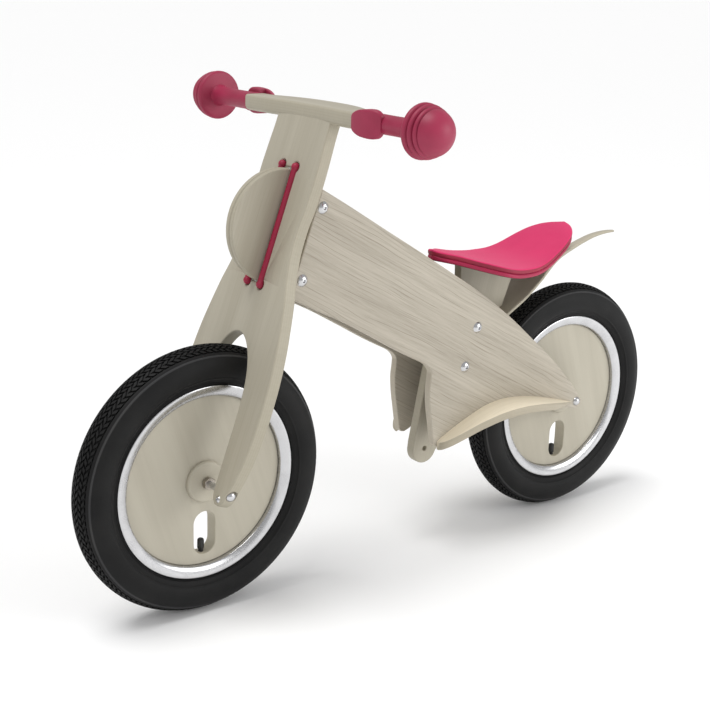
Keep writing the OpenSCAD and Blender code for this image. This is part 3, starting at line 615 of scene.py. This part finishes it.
def fork_plank():
    half = [(y, s) for y, s in smooth(PLANK_EDGE, 6) if s <= PLANK_TOP]
    half = [(48.1, PLANK_TOP)] + half + smooth(LEG_EDGE, 6)
    outline = half + [(-y, s) for y, s in reversed(half[:-1])]
    lo, hi = KNOTS
    slot = arc(CORD_Y, lo, KNOT_HOLE_R, 162.8, 450, 30) + arc(CORD_Y, hi, KNOT_HOLE_R, -90, 197.2, 30)
    slot += arc(-CORD_Y, hi, KNOT_HOLE_R, -17.2, 270, 30) + arc(-CORD_Y, lo, KNOT_HOLE_R, 90, 377.2, 30)
    verts, faces, edge = plate([outline, slot], PLANK_HALF, 2.2, 4)
    obj = piece("plank", verts, faces, "fork", PLY, ("fork_plank",),
                grain_along(90, (0.13, 0, 0)), edge, turn=FORK @ THROUGH, weighted=True)
    cord = CORD_R + 0.12
    for side in (1, -1):
        # Spot face under the axle's cap, then the groove that the cord lies in
        spot = lathe([(0, SPOT_Y * side), (6.6, SPOT_Y * side), (6.6, 82 * side), (0, 82 * side)], 48)
        boolean(obj, turned(spot, move(FRONT_X, 0, AXLE_Z) @ ALONG_Y), "DIFFERENCE")
        groove = lathe([(0, lo), (cord, lo), (cord, hi), (0, hi)], 36)
        boolean(obj, turned(groove, FORK @ move(CORD_D, side * CORD_Y, 0)), "DIFFERENCE")
    obj.data.set_sharp_from_angle(angle=math.radians(32))


def handlebar_board():
    front = [(y, x) for x, y in smooth(BOARD_FRONT, 4)]
    back = [(y, x) for x, y in smooth(BOARD_BACK, 4)]
    rings = []
    stops = [-108.1, -107.6] + [y for y in range(-106, 107, 2)] + [107.6, 108.1]
    for y in stops:
        x1 = along(front, abs(y))
        x0 = along(back, abs(y))
        shy = 0.45 if abs(y) > 108 else 0.0
        ring = rounded(x0 + shy, x1 - shy, 537.2 + shy, 555.2 - shy, (4, 6.5, 3.2, 3.2), 6)
        rings.append([(x, y, z) for x, z in ring])
    verts, faces = loft(rings)
    spin = Matrix(((0, 1, 0, 0.4), (1, 0, 0, 0), (0, 0, 1, -0.0005), (0, 0, 0, 1)))
    edge = [0.0 if v[2] > 554.9 else 1.0 for v in verts]
    piece("handlebar", verts, faces, "fork", PLY, ("handlebar_board",), spin, edge, crease=40)


def grip_knob():
    """Profile of the handle, the three rings and the domed end, as (radius, place along the bar)."""
    k, h = 28.0, 10.3
    profile = [
        (0, 108.6), (h - 0.6, 108.6), (h, 109.6), (h - 0.2, 146), (h, 172), (h + 0.5, 179), (h + 2.2, 182.6),
        (k - 6, 183.0), (k - 2.2, 183.3), (k - 0.7, 184.3), (k, 185.8), (k, 187.9), (k - 0.9, 189.3),
        (k - 2.6, 190.0), (k - 4.0, 190.5), (k - 4.0, 191.2), (k - 2.6, 191.6), (k - 1.3, 192.3),
        (k - 0.8, 193.6), (k - 1.1, 195.2), (k - 2.2, 196.3), (k - 4.2, 196.8), (k - 5.6, 197.1),
        (k - 5.6, 197.7), (k - 3.8, 198.2), (k - 2.8, 199.1), (k - 2.7, 200.3), (k - 3.4, 201.8),
        (k - 5.0, 202.7), (k - 7.2, 203.2), (k - 7.2, 203.6), (k - 5.2, 203.9)
    ]
    dome, middle, first = 24.6, 197, math.radians(17.5)
    for i in range(20):
        a = first + (math.pi / 2 - first) * i / 20
        profile.append((dome * math.cos(a), middle + dome * math.sin(a)))
    return profile + [(0, middle + dome)]


def grip_parts():
    body = turned(lathe(grip_knob(), 96), move(GRIP_X, 0, GRIP_Z) @ ALONG_Y)
    collar = []
    for y, shy in ((108.4, 0.8), (108.7, 0.3), (109.4, 0.1), (112.0, 0.1), (113.0, 0.4), (113.6, 1.0),
                   (113.9, 2.0)):
        high = 10.3 - shy
        ring = rounded(127.4 + shy, 152.2 - shy, GRIP_Z - high, GRIP_Z + high, (5.0,) * 4, 6)
        collar.append([(x, y, z) for x, z in ring])
    front = smooth([(90, 155.6), (100, 156.6), (112, 156), (124, 153.2), (134, 149)], 6)
    edge = smooth(TONGUE, 6)
    paddle = []
    for y in (92.05, 92.3, 92.8, 93.6, 94.6, 96, 98, 100.5, 103.5, 106.5, 108.25, 108.45, 110, 113, 116, 119,
              122, 124.5, 127, 129, 130.6, 131.8, 132.7, 133.3):
        high = along(edge, y) - 0.1
        shy = 1.1 * max(0.0, (94.5 - y) / 2.5) ** 2
        inner, soft = (144.0, 2.4) if y > 108.4 else (152.3 + 0.4 * shy, 1.8)
        ring = rounded(inner, along(front, y) - 0.1 - shy, GRIP_Z - high, GRIP_Z + high, (soft,) * 4, 6)
        paddle.append([(x, y, z) for x, z in ring])
    return body, loft(collar), loft(paddle)


def grips():
    half_turn = move(GRIP_X, 0, 0) @ Matrix.Rotation(math.pi, 4, "Z") @ move(-GRIP_X, 0, 0)
    for name, node, turn in (("grip_on_left", "grip_left", Matrix.Identity(4)),
                             ("grip_on_right", "grip_right", half_turn)):
        body, collar, paddle = (turned(p, turn) for p in grip_parts())
        obj = piece(name, body[0], body[1], "fork", GRIP, (node,), crease=40)
        boolean(obj, collar, "UNION")
        boolean(obj, paddle, "UNION")
        obj.data.set_sharp_from_angle(angle=math.radians(44))
        mod = obj.modifiers.new("weighted", "WEIGHTED_NORMAL")
        mod.keep_sharp = True


def buffer_cords():
    """Two straight rubber cords, each with a rounded knot at both ends."""
    lo, hi = KNOTS
    neck = math.acos(CORD_R / KNOT_R)
    turns = [-math.pi / 2 + (math.pi / 2 + neck) * i / 14 for i in range(1, 15)]
    end = [(KNOT_R * math.cos(a), KNOT_R * math.sin(a)) for a in turns]
    profile = [(0, lo - KNOT_R)] + [(r, lo + z) for r, z in end]
    profile += [(CORD_R, lo + (hi - lo) * i / 12) for i in range(1, 12)]
    profile += [(r, hi - z) for r, z in reversed(end)] + [(0, hi + KNOT_R)]
    verts, faces = joined([turned(lathe(profile, 32), move(CORD_D, side * CORD_Y, 0)) for side in (1, -1)])
    piece("rubber_buffers", verts, faces, "fork", CORD, ("buffer_cords",), turn=FORK)


def sideways(side):
    """Lays a part turned about Z along Y, toward the rider's left (1) or right (-1)."""
    return ALONG_Y if side > 0 else Matrix.Rotation(math.pi, 4, "Z") @ ALONG_Y.inverted()


def socket_radius(width):
    """Radius of a hexagonal socket against the angle."""
    def at(angle):
        return width / 2 / math.cos((angle + math.pi / 6) % (math.pi / 3) - math.pi / 6)
    return at


def dome_profile(r, h, socket=0.0, deep=1.8):
    """Profile of a domed head, from its top to its rim, with an optional hexagonal socket."""
    big = (r * r + h * h) / (2 * h)
    reach = math.asin(r / big)
    steps = 9
    if socket:
        hexagon = socket_radius(socket)
        out = [(0, h - deep), (hexagon, h - deep), (hexagon, h - 0.30)]
        first, start = math.asin(socket * 0.64 / big), 0
    else:
        out = [(0, h)]
        first, start = 0.0, 1
    for i in range(start, steps + 1):
        a = first + (reach - first) * i / steps
        out.append((big * math.sin(a), h - big + big * math.cos(a)))
    return out


def bolt_head(r, h, shank_r, shank, socket):
    profile = dome_profile(r, h, socket)
    profile += [(r, -0.02), (r - 0.2, -0.05), (shank_r, -0.05), (shank_r, -shank), (0, -shank)]
    return lathe(profile, 48)


def cross_bolts(name, node, points):
    parts = []
    for x, z in points:
        head = bolt_head(HEAD_R, 3.45, BOLT_R, 78, 4.0)
        parts.append(turned(head, move(x, PANEL_Y + 0.1, z) @ ALONG_Y))
    verts, faces = joined(parts)
    piece(name, verts, faces, "frame", CHROME, (node,), crease=28)


def cap_nuts(name, node, points, body, at, r=HEAD_R, h=3.9, sides=(-1,)):
    parts = []
    for side in sides:
        for x, z in points:
            cap = lathe(dome_profile(r, h) + [(r, -0.02), (r - 0.2, -0.05), (0, -0.05)], 48)
            parts.append(turned(cap, move(x, side * at, z) @ sideways(side)))
    verts, faces = joined(parts)
    piece(name, verts, faces, body, CHROME, (node,), crease=28)


def tip_screws():
    parts = []
    for y in (51, -51):
        head = dome_profile(3.8, 1.9, 2.2, 1.1) + [(3.8, -0.02), (2.0, -0.05), (2.0, -13), (0, -13)]
        turn = FORK @ move(PLANK_HALF, y, -7.8) @ Matrix.Rotation(math.pi / 2, 4, "Y")
        parts.append(turned(lathe(head, 36), turn))
    verts, faces = joined(parts)
    piece("tip_screws", verts, faces, "fork", CHROME, ("fork_tip_screws",), crease=28)


def hub_nuts():
    parts = []
    corner = 14.8 / 2

    def flat(a):
        return corner * math.cos(math.pi / 6) / math.cos((a + math.pi / 6) % (math.pi / 3) - math.pi / 6)

    def soft(a):
        return min(flat(a), corner * 0.93)

    profile = [
        (4.03, -2.05), (4.9, -2.05), (4.9, 0.0), (corner * 0.86, 0.0), (soft, 0.5), (flat, 1.0), (flat, 5.4),
        (soft, 5.9), (corner * 0.84, 6.4), (4.03, 6.4)
    ]
    for side in (1, -1):
        turn = move(FRONT_X, side * 14.6, AXLE_Z) @ sideways(side)
        parts.append(turned(lathe(profile, 72, closed=True), turn))
    verts, faces = joined(parts)
    piece("hub_nuts", verts, faces, "fork", DULL_STEEL, ("front_hub_nuts",), crease=25)


# ------------------------------------------------------------------ frame

def steering_discs():
    cx, cz = fork_point(-1.8, DISC_S)
    corner = PANEL_TOP[0]
    kept = []
    for x, z in arc(cx, cz, DISC_R, 0, 360, 160)[:-1]:
        # The disc stops where it would stand above the panels behind the plank
        back = (x - corner[0]) * math.cos(LEAN) + (z - corner[1]) * math.sin(LEAN) < 0
        if not (back and z > along(PANEL_TOP[:3], x) and z > 430):
            kept.append((x, z))
    cut = [i for i in range(len(kept)) if math.dist(kept[i], kept[(i + 1) % len(kept)]) > 5]
    if cut:
        kept.insert(cut[0] + 1, corner)
    for name, node, y in (("disc_layer_left", "steering_disc_left", 3.45),
                          ("disc_layer_right", "steering_disc_right", -3.45)):
        verts, faces, edge = plate([kept], LAYER_HALF, 1.7, 4)
        piece(name, verts, faces, "frame", PLY, (node,),
              grain_along(110, (0.3, 0.02 * y, 0)), edge, turn=move(0, y, 0) @ ACROSS, weighted=True)


def side_panels():
    outline = smooth(PANEL_TOP, 5) + arc(REAR_X, AXLE_Z, 11, 170, 262, 8)
    outline += smooth(PANEL_ARCH, 5) + smooth(PANEL_LOBE, 5)
    for name, node, y in (("panel_left", "side_panel_left", 33), ("panel_right", "side_panel_right", -33)):
        verts, faces, edge = plate([outline], PANEL_HALF, 1.6, 4)
        piece(name, verts, faces, "frame", PANEL, (node,),
              grain_along(29, (0.2, 0.003 * y, 0)), edge, turn=move(0, y, 0) @ ACROSS, weighted=True)


def strip_face(x0, x1, side):
    """Points just above (1) or below (-1) the tail strip between two places along the bike."""
    return [(x, z + side * (STRIP_RISE + FIT)) for x, z in smooth(STRIP_LINE, 3) if x0 < x < x1]


def seat_under(x0, x1):
    """Points of the wood's face under the saddle between two places along the bike."""
    return [(x, z - SEAT_DEPTH) for x, z in smooth(SEAT_LINE, 3) if x0 < x < x1]


def seat_post():
    outline = list(reversed(seat_under(-186, -87.9))) + smooth(PLATE_FRONT, 5)
    outline += arc(-43, 124, 19, 12, -160, 16) + smooth(PLATE_BACK, 5)
    outline += [(-123.4, 271.5)] + strip_face(-168, -128, 1)
    holes = [arc(x, z, BOLT_HOLE_R, 0, 360, 32)[:-1] for x, z in SPARE_HOLES]
    verts, faces, edge = plate([outline] + holes, POST_HALF, 1.5, 3)
    piece("seat_post", verts, faces, "frame", PLY, ("seat_plate",),
          grain_along(105, (0.5, 0, 0)), edge, turn=ACROSS, weighted=True)


def blocks():
    wedge = strip_face(-252, -216, 1) + list(reversed(seat_under(-252, -216)))
    block = strip_face(-154, -125, -1) + [(-147, 262), (-131, 253)]
    for name, node, outline, half in (("seat_wedge", "seat_block", wedge, WEDGE_HALF),
                                      ("strip_block", "mudguard_block", block, BLOCK_HALF)):
        verts, faces, edge = plate([outline], half, 1.0, 2)
        piece(name, verts, faces, "frame", PLY, (node,), grain_along(40), edge,
              turn=ACROSS, weighted=True)


def spacers():
    for name, node, points, r, y0 in (("head_tubes", "head_spacers", HEAD_BOLTS, 7.8, 6.75),
                                      ("frame_tubes", "frame_spacers", FRAME_BOLTS, 9, 6.3)):
        parts = []
        profile = [
            (BOLT_HOLE_R, y0), (r - 0.8, y0), (r, y0 + 0.8), (r, 27.15), (r - 0.8, 27.95),
            (BOLT_HOLE_R, 27.95)
        ]
        for x, z in points:
            for side in (1, -1):
                turn = move(x, 0, z) @ (ALONG_Y if side > 0 else MIRROR @ ALONG_Y)
                parts.append(turned(lathe(profile, 48, closed=True), turn))
        verts, faces = joined(parts)
        piece(name, verts, faces, "frame", HIDDEN_PLY, (node,), crease=30)


def footrests():
    line = smooth(FOOT_LINE, 6)
    side = smooth(FOOT_SIDE, 6)
    stops = [-34.0, -34.3, -35, -36] + [-38 - 2 * i for i in range(113)] + [-264.5, -266, -267, -267.6]
    for name, node, sign in (("step_left", "footrest_left", 1), ("step_right", "footrest_right", -1)):
        rings, edge = [], []
        for x in stops:
            reach = max(along(side, x), 0.6)
            z = along(line, x)
            r = min(3.0, 0.45 * reach)
            thick = STEP_THICKNESS * min(1.0, max(0.4, (x + 285) / 75))
            ring = rounded(PANEL_Y + 0.06, PANEL_Y + reach, z - thick, z, (0.3, r, r, 0.3), 6)
            rings.append([(x, sign * y, h) for y, h in ring])
            # Sides and underside count as edge here, and the footrest material halves their tone as painted
            # shade.
            edge += [0.0 if h > z - 0.4 else 1.0 for y, h in ring]
        verts, faces = loft(rings)
        obj = piece(name, verts, faces, "frame", PAINTED_LIGHT_STEP, (node,), Matrix.Identity(4), edge,
                    crease=40)
        # The grain follows the arch
        data = obj.data.attributes["grain"].data
        for i, (x, y, z) in enumerate(verts):
            data[i].vector = Vector((x, y + 150 * sign, z - along(line, x) - 0.3)) * MM


def strip():
    line = smooth(STRIP_LINE, 6)
    taper = smooth(STRIP_TAPER, 4)
    rings, edge = [], []
    for i, (x, z) in enumerate(line):
        if x < STRIP_TAPER[-1][0]:
            break
        a, b = line[max(i - 1, 0)], line[min(i + 1, len(line) - 1)]
        t = Vector((b[0] - a[0], 0, b[1] - a[1])).normalized()
        n = Vector((0, 1, 0)).cross(t).normalized()
        if n.z < 0:
            n = -n
        w = STRIP_HALF_WIDTH * along(taper, x)
        r = min(1.7, 0.45 * w)
        thick = STRIP_RISE * n.z * min(1.0, max(0.5, (x + 420) / 105))
        section = rounded(-w, w, -thick, thick, (r,) * 4, 5)
        edge += [0.0 if abs(h) > thick - 0.2 else 1.0 for y, h in section]
        rings.append([tuple(Vector((x, 0, z)) + Vector((0, y, 0)) + n * h) for y, h in section])
    verts, faces = loft(rings)
    piece("tail_strip", verts, faces, "frame", PLY, ("mudguard",), move(900, 0, 0), edge,
          crease=40)


def seat_rings(top, thick, shrink, bulge, crown, stations):
    """Cross sections of one seat layer, with a rounded rim and a slight crown."""
    line = smooth(SEAT_LINE, 8)
    side = smooth(SEAT_SIDE, 8)
    rings = []
    for x in stations:
        w = max(along(side, x) - shrink, 0.5)
        z = along(line, x) - top
        ring = []
        n = 26
        rim = min(bulge, 0.8 * w)
        for i in range(n + 1):
            t = -1 + 2 * i / n
            y = t * (w - rim)
            ring.append((y, z - crown * abs(t) ** 2.6))
        edge_z = z - crown
        half = (thick - crown) / 2
        ring += [(w - rim + rim * math.cos(a), edge_z - half + half * math.sin(a)) for a in
                 (math.pi / 2 - math.pi * k / 10 for k in range(1, 10))]
        for i in range(n + 1):
            t = 1 - 2 * i / n
            ring.append((t * (w - rim), z - thick))
        ring += [(-(w - rim) - rim * math.cos(a), edge_z - half + half * math.sin(a)) for a in
                 (-math.pi / 2 + math.pi * k / 10 for k in range(1, 10))]
        rings.append([(x, y, h) for y, h in ring])
    return rings


def bind(obj, material, chosen):
    """Gives the faces whose middle is chosen their own material."""
    obj.data.materials.append(material)
    for face in obj.data.polygons:
        if chosen(face.center):
            face.material_index = 1


def seat():
    stations = [-45.05 - 225.9 * (0.5 - 0.5 * math.cos(math.pi * i / 96)) for i in range(97)]
    rings = seat_rings(0.0, 7.0, 0.0, 2.2, 0.9, stations)
    verts, faces = loft(rings)
    for i, v in enumerate(verts):
        p = Vector(v)
        deep = 0.28 * noise.noise(p * 0.05) + 0.12 * noise.noise(p * 0.16)
        verts[i] = (p.x, p.y, p.z + (deep if p.z > along(smooth(SEAT_LINE, 3), p.x) - 5 else 0) - 0.15)
    pad = piece("seat_cushion", verts, faces, "frame", CLOTH, ("seat_pad",), crease=60)
    line = smooth(SEAT_LINE, 3)
    # Faces whose middle lies more than 2.1 mm below the seat line take the darker crimson, painted shade on
    # the cushion's sides.
    bind(pad, PAD_SIDE_SHADE, lambda c: c.z / MM < along(line, c.x / MM) - 2.1)
    rings = seat_rings(7.1, 5.9, 0.2, 2.7, 0.0, stations[1:-1])
    verts, faces = loft(rings)
    shell = piece("seat_shell", verts, faces, "frame", SHELL, ("seat_base",), crease=60)
    bind(shell, UNDERSIDE, lambda c: c.z / MM < along(line, c.x / MM) - 12.4)


# ------------------------------------------------------------------ wheels

def tyre_section():
    """Closed outline of the tyre's casing as (radius, offset)."""
    w = CASING_R
    half = [(a, w - 1.9) for a in range(0, 39, 3)]
    half += [
        (38.6, w - 1.9), (39.6, w - 1.5), (41.2, w - 0.25), (43.5, w), (47, w), (49.4, w), (50.4, w + 0.45),
        (51.4, w + 0.6), (52.8, w + 0.6), (53.8, w + 0.45), (54.8, w), (58, w - 0.05), (62, w - 0.15)
    ]
    half += [(a, w - 0.2) for a in range(66, 112, 4)]
    half += [
        (114, w - 0.35), (115.4, w + 0.1), (117, w + 0.15), (118.6, w - 0.3), (122, w - 0.7), (128, w - 0.6),
        (134, w - 0.4)
    ]
    inside = [(a, w - 4) for a in range(130, -1, -10)]

    def placed(points):
        return [(CROWN + q * math.cos(math.radians(a)), q * math.sin(math.radians(a))) for a, q in points]

    bead = [(111.9, 17.2), (110.9, 15.4), (110.4, 14.4), (104.7, 14.2), (104.7, 10), (112, 11.9)]
    out = placed(half) + bead + placed(inside)
    mirrored = [(r, -y) for r, y in reversed(out)]
    return out[:-1] + mirrored[:-1]


def tread_blocks():
    """Seven rows of small slanted blocks, each row leaning the other way than the last."""
    count = 118
    verts, faces = [], []
    rows = [(-33.2, 9.4), (-22.3, 9.8), (-11.2, 9.8), (0.0, 9.2), (11.2, 9.8), (22.3, 9.8), (33.2, 9.4)]
    box = ((3, 2, 1, 0), (4, 5, 6, 7), (0, 1, 5, 4), (1, 2, 6, 5), (2, 3, 7, 6), (3, 0, 4, 7))
    for row, (middle, width) in enumerate(rows):
        lean = 0.50 if row % 2 else -0.50
        for k in range(count):
            a = (k + (0.5 if row % 2 else 0.0)) / count
            base = len(verts)
            for q, grow in ((20.8, 0.0), (22.98, 0.34)):
                for u, t in ((-1, -1), (-1, 1), (1, 1), (1, -1)):
                    phi = math.radians(middle + u * (width / 2 - grow * 1.6))
                    theta = 2 * math.pi * (a + (t * (0.33 - grow * 0.14) + u * lean * 0.5) / count)
                    r = CROWN + q * math.cos(phi)
                    verts.append((r * math.cos(theta), r * math.sin(theta), q * math.sin(phi)))
            faces += [[base + i for i in f] for f in box]
    return verts, faces


def wheel_tyre(end, x, turn):
    body = end + "_wheel"

    def on_highlight_ridge(c):
        out = math.hypot(c.x / MM - x, c.z / MM - AXLE_Z) - CROWN
        angle = math.degrees(math.atan2(abs(c.y) / MM, out))
        return 49.6 < angle < 54.6 and math.hypot(out, c.y / MM) > CASING_R - 1

    verts, faces = lathe(tyre_section(), 240, closed=True)
    casing = piece(end + "_casing", verts, faces, body, TYRE, (end + "_tyre",), turn=turn, crease=50)
    # The faces on the raised ridge get the lighter grey rubber as a painted highlight.
    bind(casing, RIDGE_HIGHLIGHT, on_highlight_ridge)
    verts, faces = tread_blocks()
    piece(end + "_tread", verts, faces, body, TYRE, turn=turn, crease=20)


def wheel_rim(end, turn):
    half = [
        (98.0, 0), (98.0, 11.8), (98.25, 12.9), (99.0, 13.7), (101, 14.9), (103.5, 15.9), (106.5, 16.6),
        (108.8, 17.0), (109.9, 16.95), (110.45, 16.55), (110.6, 15.9), (110.4, 15.2), (109.9, 14.8),
        (109.2, 14.7), (104.4, 14.6), (104.0, 13.6), (103.4, 11), (101.4, 6.6), (101, 5.6), (101, 0)
    ]
    outline = half + [(r, -y) for r, y in reversed(half[1:-1])]
    verts, faces = lathe(outline, 240, closed=True)
    piece(end + "_rim_ring", verts, faces, end + "_wheel", RIM, (end + "_rim",), turn=turn, crease=40)


def wheel_board(end, x):
    slot = arc(0, -49.8, 13.5, 0, 180, 24) + arc(0, -73.3, 13.5, 180, 360, 24)
    hub = arc(0, 0, HUB_R, 0, 360, 40)[:-1]
    verts, faces, edge = plate([arc(0, 0, 97.9, 0, 360, 200)[:-1], slot, hub], BOARD_HALF, 1.3, 4)
    piece(end + "_wheel_board", verts, faces, end + "_wheel", FACE, (end + "_disc",),
          grain_along(72, (x, 0, 0)), edge, turn=move(x, 0, AXLE_Z) @ ACROSS, weighted=True)


def hub_pucks(end, x, turn):
    inner = BOARD_HALF + FIT
    puck = [(HUB_R, inner), (23.3, inner), (23.5, 8.8), (23.5, 10.8)]
    for i in range(1, 7):
        q = math.pi / 2 * i / 6
        puck.append((20.3 + 3.2 * math.cos(q), 10.8 + 3.2 * math.sin(q)))
    puck += [(5.9, 14.0), (5.5, 13.6), (5.5, 12.3), (HUB_R, 12.3)]
    verts, faces = joined([turned(lathe(puck, 96, closed=True), t) for t in (turn, MIRROR @ turn)])
    piece(end + "_hub_pucks", verts, faces, end + "_wheel", FACE, (end + "_bosses",),
          move(x, 0, 900), [0.25] * len(verts), crease=40)


def valve_stem(end, x):
    def ribbed(radius):
        return lambda a: radius + 0.22 * math.cos(12 * a)

    stem = [
        (0, 0), (1.6, 0), (2.6, 0.3), (3.3, 1.0), (ribbed(3.6), 1.8), (ribbed(3.7), 11.2), (3.5, 12.2),
        (2.7, 12.6), (2.5, 13.4), (3.0, 14.0), (3.0, 37.3), (0, 37.3)
    ]
    verts, faces = lathe(stem, 72)
    piece(end + "_valve_stem", verts, faces, end + "_wheel", VALVE, (end + "_valve",),
          turn=move(x, 0, AXLE_Z - 71.2) @ Matrix.Rotation(math.pi, 4, "X"), crease=35)


def wheel(end, x):
    turn = move(x, 0, AXLE_Z) @ ALONG_Y
    wheel_tyre(end, x, turn)
    wheel_rim(end, turn)
    wheel_board(end, x)
    hub_pucks(end, x, turn)
    valve_stem(end, x)


# ------------------------------------------------------------------ carried-over CAD nodes

def dress(names, material):
    for name in names:
        mesh = NODES[name].data
        mesh.materials.clear()
        mesh.materials.append(material)


def carried_over():
    dress(["steering_pin", "front_axle", "rear_axle", "rear_axle_spacers", "front_bearings", "rear_bearings",
           "front_hub_sleeve", "rear_hub_sleeve"], STEEL)
    dress(["handlebar_screws", "seat_screws", "mudguard_screws", "footrest_screws"], ZINC)
    dress(["steering_washers"], NYLON)
    dress(["front_tube", "rear_tube"], BUTYL)


make_camera()
make_stage()
fork_plank()
handlebar_board()
grips()
buffer_cords()
tip_screws()
hub_nuts()
steering_discs()
side_panels()
seat_post()
blocks()
spacers()
footrests()
strip()
seat()
cross_bolts("head_bolt_heads", "head_bolts", HEAD_BOLTS)
cross_bolts("frame_bolt_heads", "frame_bolts", FRAME_BOLTS)
cap_nuts("head_cap_nuts", "head_nuts", HEAD_BOLTS, "frame", PANEL_Y + FIT)
cap_nuts("frame_cap_nuts", "frame_nuts", FRAME_BOLTS, "frame", PANEL_Y + FIT)
cap_nuts("rear_axle_end_caps", "rear_axle_caps", [(REAR_X, AXLE_Z)], "frame", PANEL_Y + FIT,
         CAP_R, 4.3, (1, -1))
cap_nuts("front_axle_end_caps", "front_axle_caps", [(FRONT_X, AXLE_Z)], "fork", SPOT_Y + FIT,
         CAP_R, 4.3, (1, -1))
wheel("front", FRONT_X)
wheel("rear", REAR_X)
carried_over()
